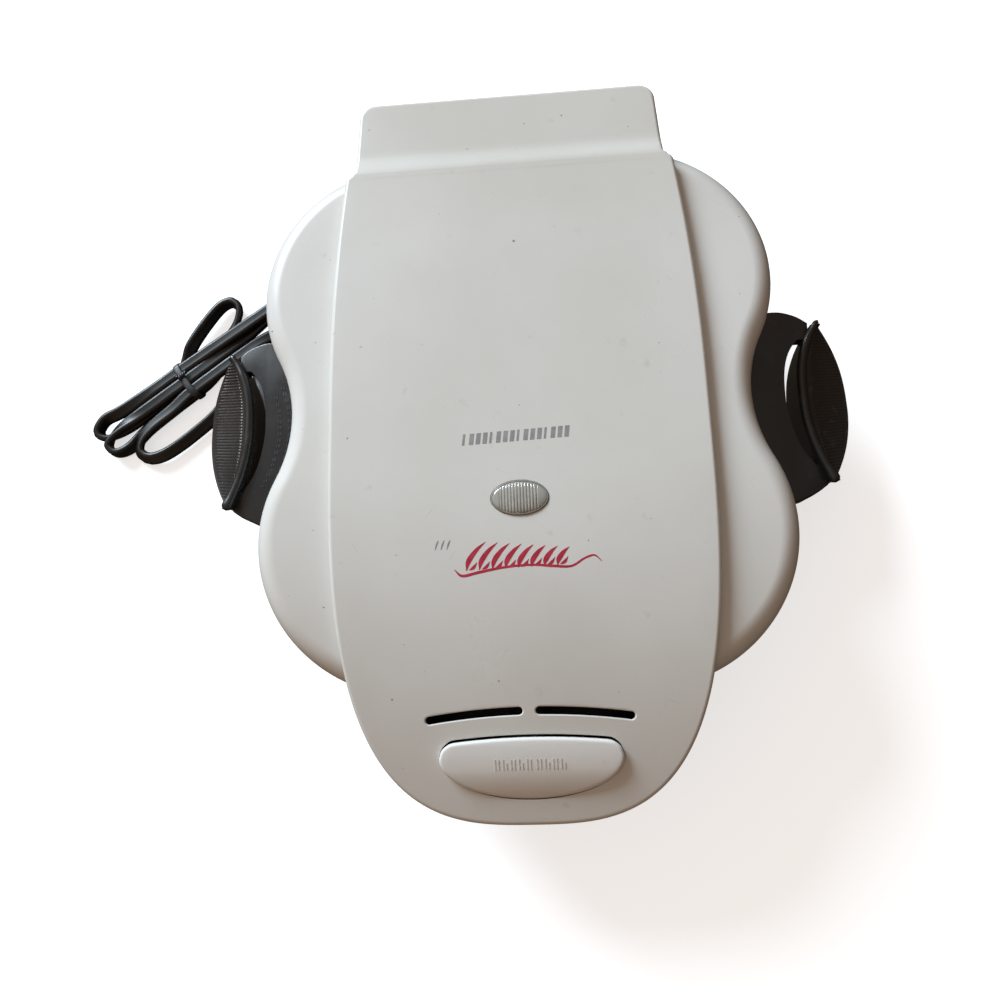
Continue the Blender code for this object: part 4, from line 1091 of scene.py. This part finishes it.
def make_grip(finish, leaf_painted_sheen_finish, label, side):
    """The plate with its slot, the ribbed leaf and the bead along the leaf's upper edge."""
    line = grip_plate_line()
    middle = Vector((0.140, GRIP_Y))

    def level(z, inset):
        points = []
        for x, y in line:
            pull = (Vector((x, y)) - middle).normalized() * inset
            points.append((x - pull.x, y - pull.y, z))
        return points

    top, edge_r = BASE_RIM - 0.0002, 0.0012
    rings = [level(0.0420, 0.0)]
    for a, b in arc((-edge_r, -edge_r), edge_r, 0, 90, 5):
        rings.append(level(top + b, -a))
    slot = grip_slot_side(0.0080, 0.0030, 0.0020, 1) + grip_slot_side(0.0012, -0.0010, 0.0, -1)
    plate = boolean(loft("plate", rings), loft("slot", upright(slot, 0.020, 0.060)))
    plate = mirror_x(plate, side)
    piece("grip_plate_" + label, plate, finish, "base", (label + "_handle",), 50)
    # The leaf gets a lighter black than the plate and bead, a painted sheen for its ribs.
    make_leaf(leaf_painted_sheen_finish, label, side)
    make_bead(finish, label, side)


def make_leaf(finish, label, side):
    """The hanging leaf: a plain inner wall, a rounded lower edge and a slanting face with fine ribs."""
    steps = LEAF_RIBS * 8
    down_face = [0.92] + [0.90 - 0.076 * j for j in range(11)] + [0.11]
    rings = []
    for i in range(steps + 1):
        u = -1 + 2 * i / steps
        bead, edge = grip_line(u)
        edge = max(edge, bead + 0.0032)
        y = grip_y(u)
        belly = 0.0305 + 0.0120 * u * u
        slope = 0.0538 - (edge - bead) * 0.53
        inner, start = bead - 0.0023, bead + 0.0020
        width = edge - 0.0010 - start
        section = [(inner, 0.0512), (inner, belly + 0.0012), (inner + 0.0008, belly + 0.0002),
                   (inner + 0.0020, belly), (max(edge - 0.0045, bead), slope - 0.0062),
                   (edge - 0.0009, slope - 0.0044), (edge, slope - 0.0028), (edge - 0.0002, slope - 0.0012),
                   (edge - 0.0010, slope)]
        for k in down_face:
            turn = 2 * pi * LEAF_RIBS * (i / steps - LEAF_SLANT * width * k / (2 * GRIP_HALF))
            ribbed = abs(u) < 0.93 and 0.12 < k < 0.91
            rise = LEAF_RIDGE * (0.5 - 0.5 * cos(turn)) ** 2 if ribbed else 0.0
            hollow = -0.0006 * sin(pi * k) * min(1.0, width / 0.015)
            section.append((start + width * k, slope + (LEAF_TOP - slope) * (1 - k) + hollow + rise))
        section.append((start, LEAF_TOP))
        rings.append([(x, y, z) for x, z in section])
    piece("grip_leaf_" + label, mirror_x(loft("leaf", rings), side), finish, "base", (), 26)


def make_bead(finish, label, side):
    """A round ridge that thickens to a foot at the front and ends in a small peg at the back."""
    path = []
    for i in range(91):
        u = -1.03 + 2.07 * i / 90
        path.append((grip_line(u)[0], grip_y(u), 0.0523))

    def profile(i, share):
        radius = 0.0024 + 0.0005 * exp(-((share - 0.03) / 0.035) ** 2)
        radius -= 0.0008 * min(1.0, max(0.0, (share - 0.86) / 0.08))
        for end in (share, 1.0 - share):
            if end < 0.022:
                radius *= sqrt(1.0 - (1.0 - max(0.04, end / 0.022)) ** 2)
        return ellipse(radius, 0.85 * radius, 20)

    mesh = mirror_x(sweep(path, profile), side)
    piece("grip_bead_" + label, mesh, finish, "base", (), 60)


def make_grip_marks(finish):
    """Two arcs of small raised dashes on the left grip's plate, each dash a pair side by side."""
    outlines = []
    rng = random.Random(3)
    for column, start, end in ((-0.1302, -0.026, 0.026), (-0.1246, -0.024, 0.030)):
        y = start
        while y < end:
            size = rng.uniform(0.0012, 0.0030)
            x = column - 0.6 * (y - GRIP_Y) ** 2 / 0.07 - 0.0010
            top = y + size * 0.7
            for x0, x1 in ((-0.0010, -0.0004), (0.0002, 0.0009)):
                outlines.append(bar(x + x0, x + x1, y, top))
            y += size + rng.uniform(0.0006, 0.0016)
    decal("grip_dashes", outlines, finish, "base", lambda x, y: BASE_RIM - 0.0002, 0.00022, 0.0003)


def make_feet(rubber):
    """Four round pads with a groove in each sole."""
    profile = mm((3.0, 0.6), (4.2, 0.6), (4.6, 0.0), (6.0, 0.0), (6.3, 0.4), (6.8, 0.4), (7.1, 0.0),
                 (7.6, 0.2), (8.4, 1.2), (8.9, 2.8), (9.0, 4.7))
    for end, y in (("front", -0.084), ("rear", 0.092)):
        for side, x in (("left", -0.070), ("right", 0.070)):
            mesh = turned("foot", profile, 48, (x, y))
            piece(f"pad_{end}_{side}", mesh, rubber, "base", (f"foot_{end}_{side}",), 40)


def make_blank_plate(finish):
    """A blank rating plate with a raised rim, under the floor."""
    corner_r, middle_y = 0.003, 0.071

    def ring(w, h, z):
        points = []
        for sx, sy, start in ((1, 1, 0), (-1, 1, 90), (-1, -1, 180), (1, -1, 270)):
            center = (sx * (w - corner_r), middle_y + sy * (h - corner_r))
            points += [(x, y, z) for x, y in arc(center, corner_r, start, start + 90, 5)]
        return points

    rings = [ring(0.026, 0.013, 0.0052), ring(0.026, 0.013, 0.0045), ring(0.0252, 0.0122, 0.0042),
             ring(0.0244, 0.0114, 0.0045), ring(0.0240, 0.0110, 0.0046)]
    piece("blank_rating_plate", loft("plate", rings), finish, "base", (), 30)


# ---- build
def dress(finishes):
    """Gives each CAD node that still shows a finish of its own."""
    for names, finish in finishes:
        for name in names.split():
            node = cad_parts[name]
            if not node.material_slots:
                node.data.materials.append(finish)
            for entry in node.material_slots:
                entry.material = finish


make_camera()
make_floor()
make_room()
make_window()
ivory = ivory_plastic()
ivory_lobes = ivory_plastic("ivory_lobes", (0.655, 0.652, 0.630), (0.600, 0.592, 0.560))
black = black_plastic()
# The leaf's black is lighter than the other black plastic: painted sheen, standing in for the light that its
# fine ribs catch.
leaf_black_painted_sheen = black_plastic("leaf_black_painted_sheen", (0.019, 0.019, 0.020), 0.20, 0.32)
jacket = cord_jacket()
steel = metal("satin_steel", (0.60, 0.60, 0.59), 0.26, 0.42)
brass = metal("brass", (0.74, 0.56, 0.26), 0.20, 0.36)
bright = metal("bright_aluminium", (0.80, 0.81, 0.82), 0.22, 0.40, (1, 20, 1, 0))
rubber = matte("foot_rubber", (0.016, 0.016, 0.016), (0.030, 0.029, 0.028), 140.0)
ceramic = matte("ceramic", (0.80, 0.78, 0.72), (0.70, 0.67, 0.60), 90.0)
tie_finish = matte("tie_plastic", (0.012, 0.012, 0.013), (0.022, 0.022, 0.024), 200.0, 0.42, 0.55)
coated = coated_metal()

make_cord(jacket, tie_finish)
make_lid_shell(ivory_lobes)
make_cover(ivory)
make_lens(lens_plastic(), ink("bezel_grey", (0.19, 0.185, 0.16)))
make_lid_plate(coated)
grey_ink = ink("grey_ink", (0.235, 0.232, 0.235))
make_bars(grey_ink)
make_sprig(ink("red_ink", (0.37, 0.013, 0.040)))
make_ticks(grey_ink)
make_button(ivory_plastic("ivory_button", (0.700, 0.698, 0.682), (0.650, 0.642, 0.620)))
make_button_marks(ivory_plastic("ivory_marks", (0.60, 0.595, 0.57), (0.56, 0.55, 0.52), False))
make_base_shell(black)
make_nose(black)
make_base_plate(coated)
for grip_label, grip_side in (("left", -1), ("right", 1)):
    make_grip(black, leaf_black_painted_sheen, grip_label, grip_side)
make_grip_marks(black_plastic("dash_black", (0.03, 0.031, 0.033), 0.3, 0.45))
make_feet(rubber)
make_blank_plate(bright)
dress([
    ("hinge_arm_left hinge_arm_right hinge_pin button_pin latch_hook", steel),
    ("latch_spring catch_plate", matte("black_oxide", (0.010, 0.010, 0.011), (0.018, 0.017, 0.017), 150.0)),
    ("base_screw_front_left base_screw_front_right base_screw_rear_left base_screw_rear_right", steel),
    ("upper_element lower_element", metal("sheath_steel", (0.34, 0.32, 0.30), 0.32, 0.5)),
    ("upper_reflector lower_reflector", bright),
    ("thermostat terminal_block", ceramic),
    ("thermal_fuse plug_blade_left plug_blade_right", brass),
    ("indicator_lamp", glass_lamp()),
    ("lamp_leads", matte("lead_sleeve", (0.55, 0.50, 0.40), (0.42, 0.37, 0.28), 300.0)),
    ("hinge_bracket_left hinge_bracket_right", black),
])
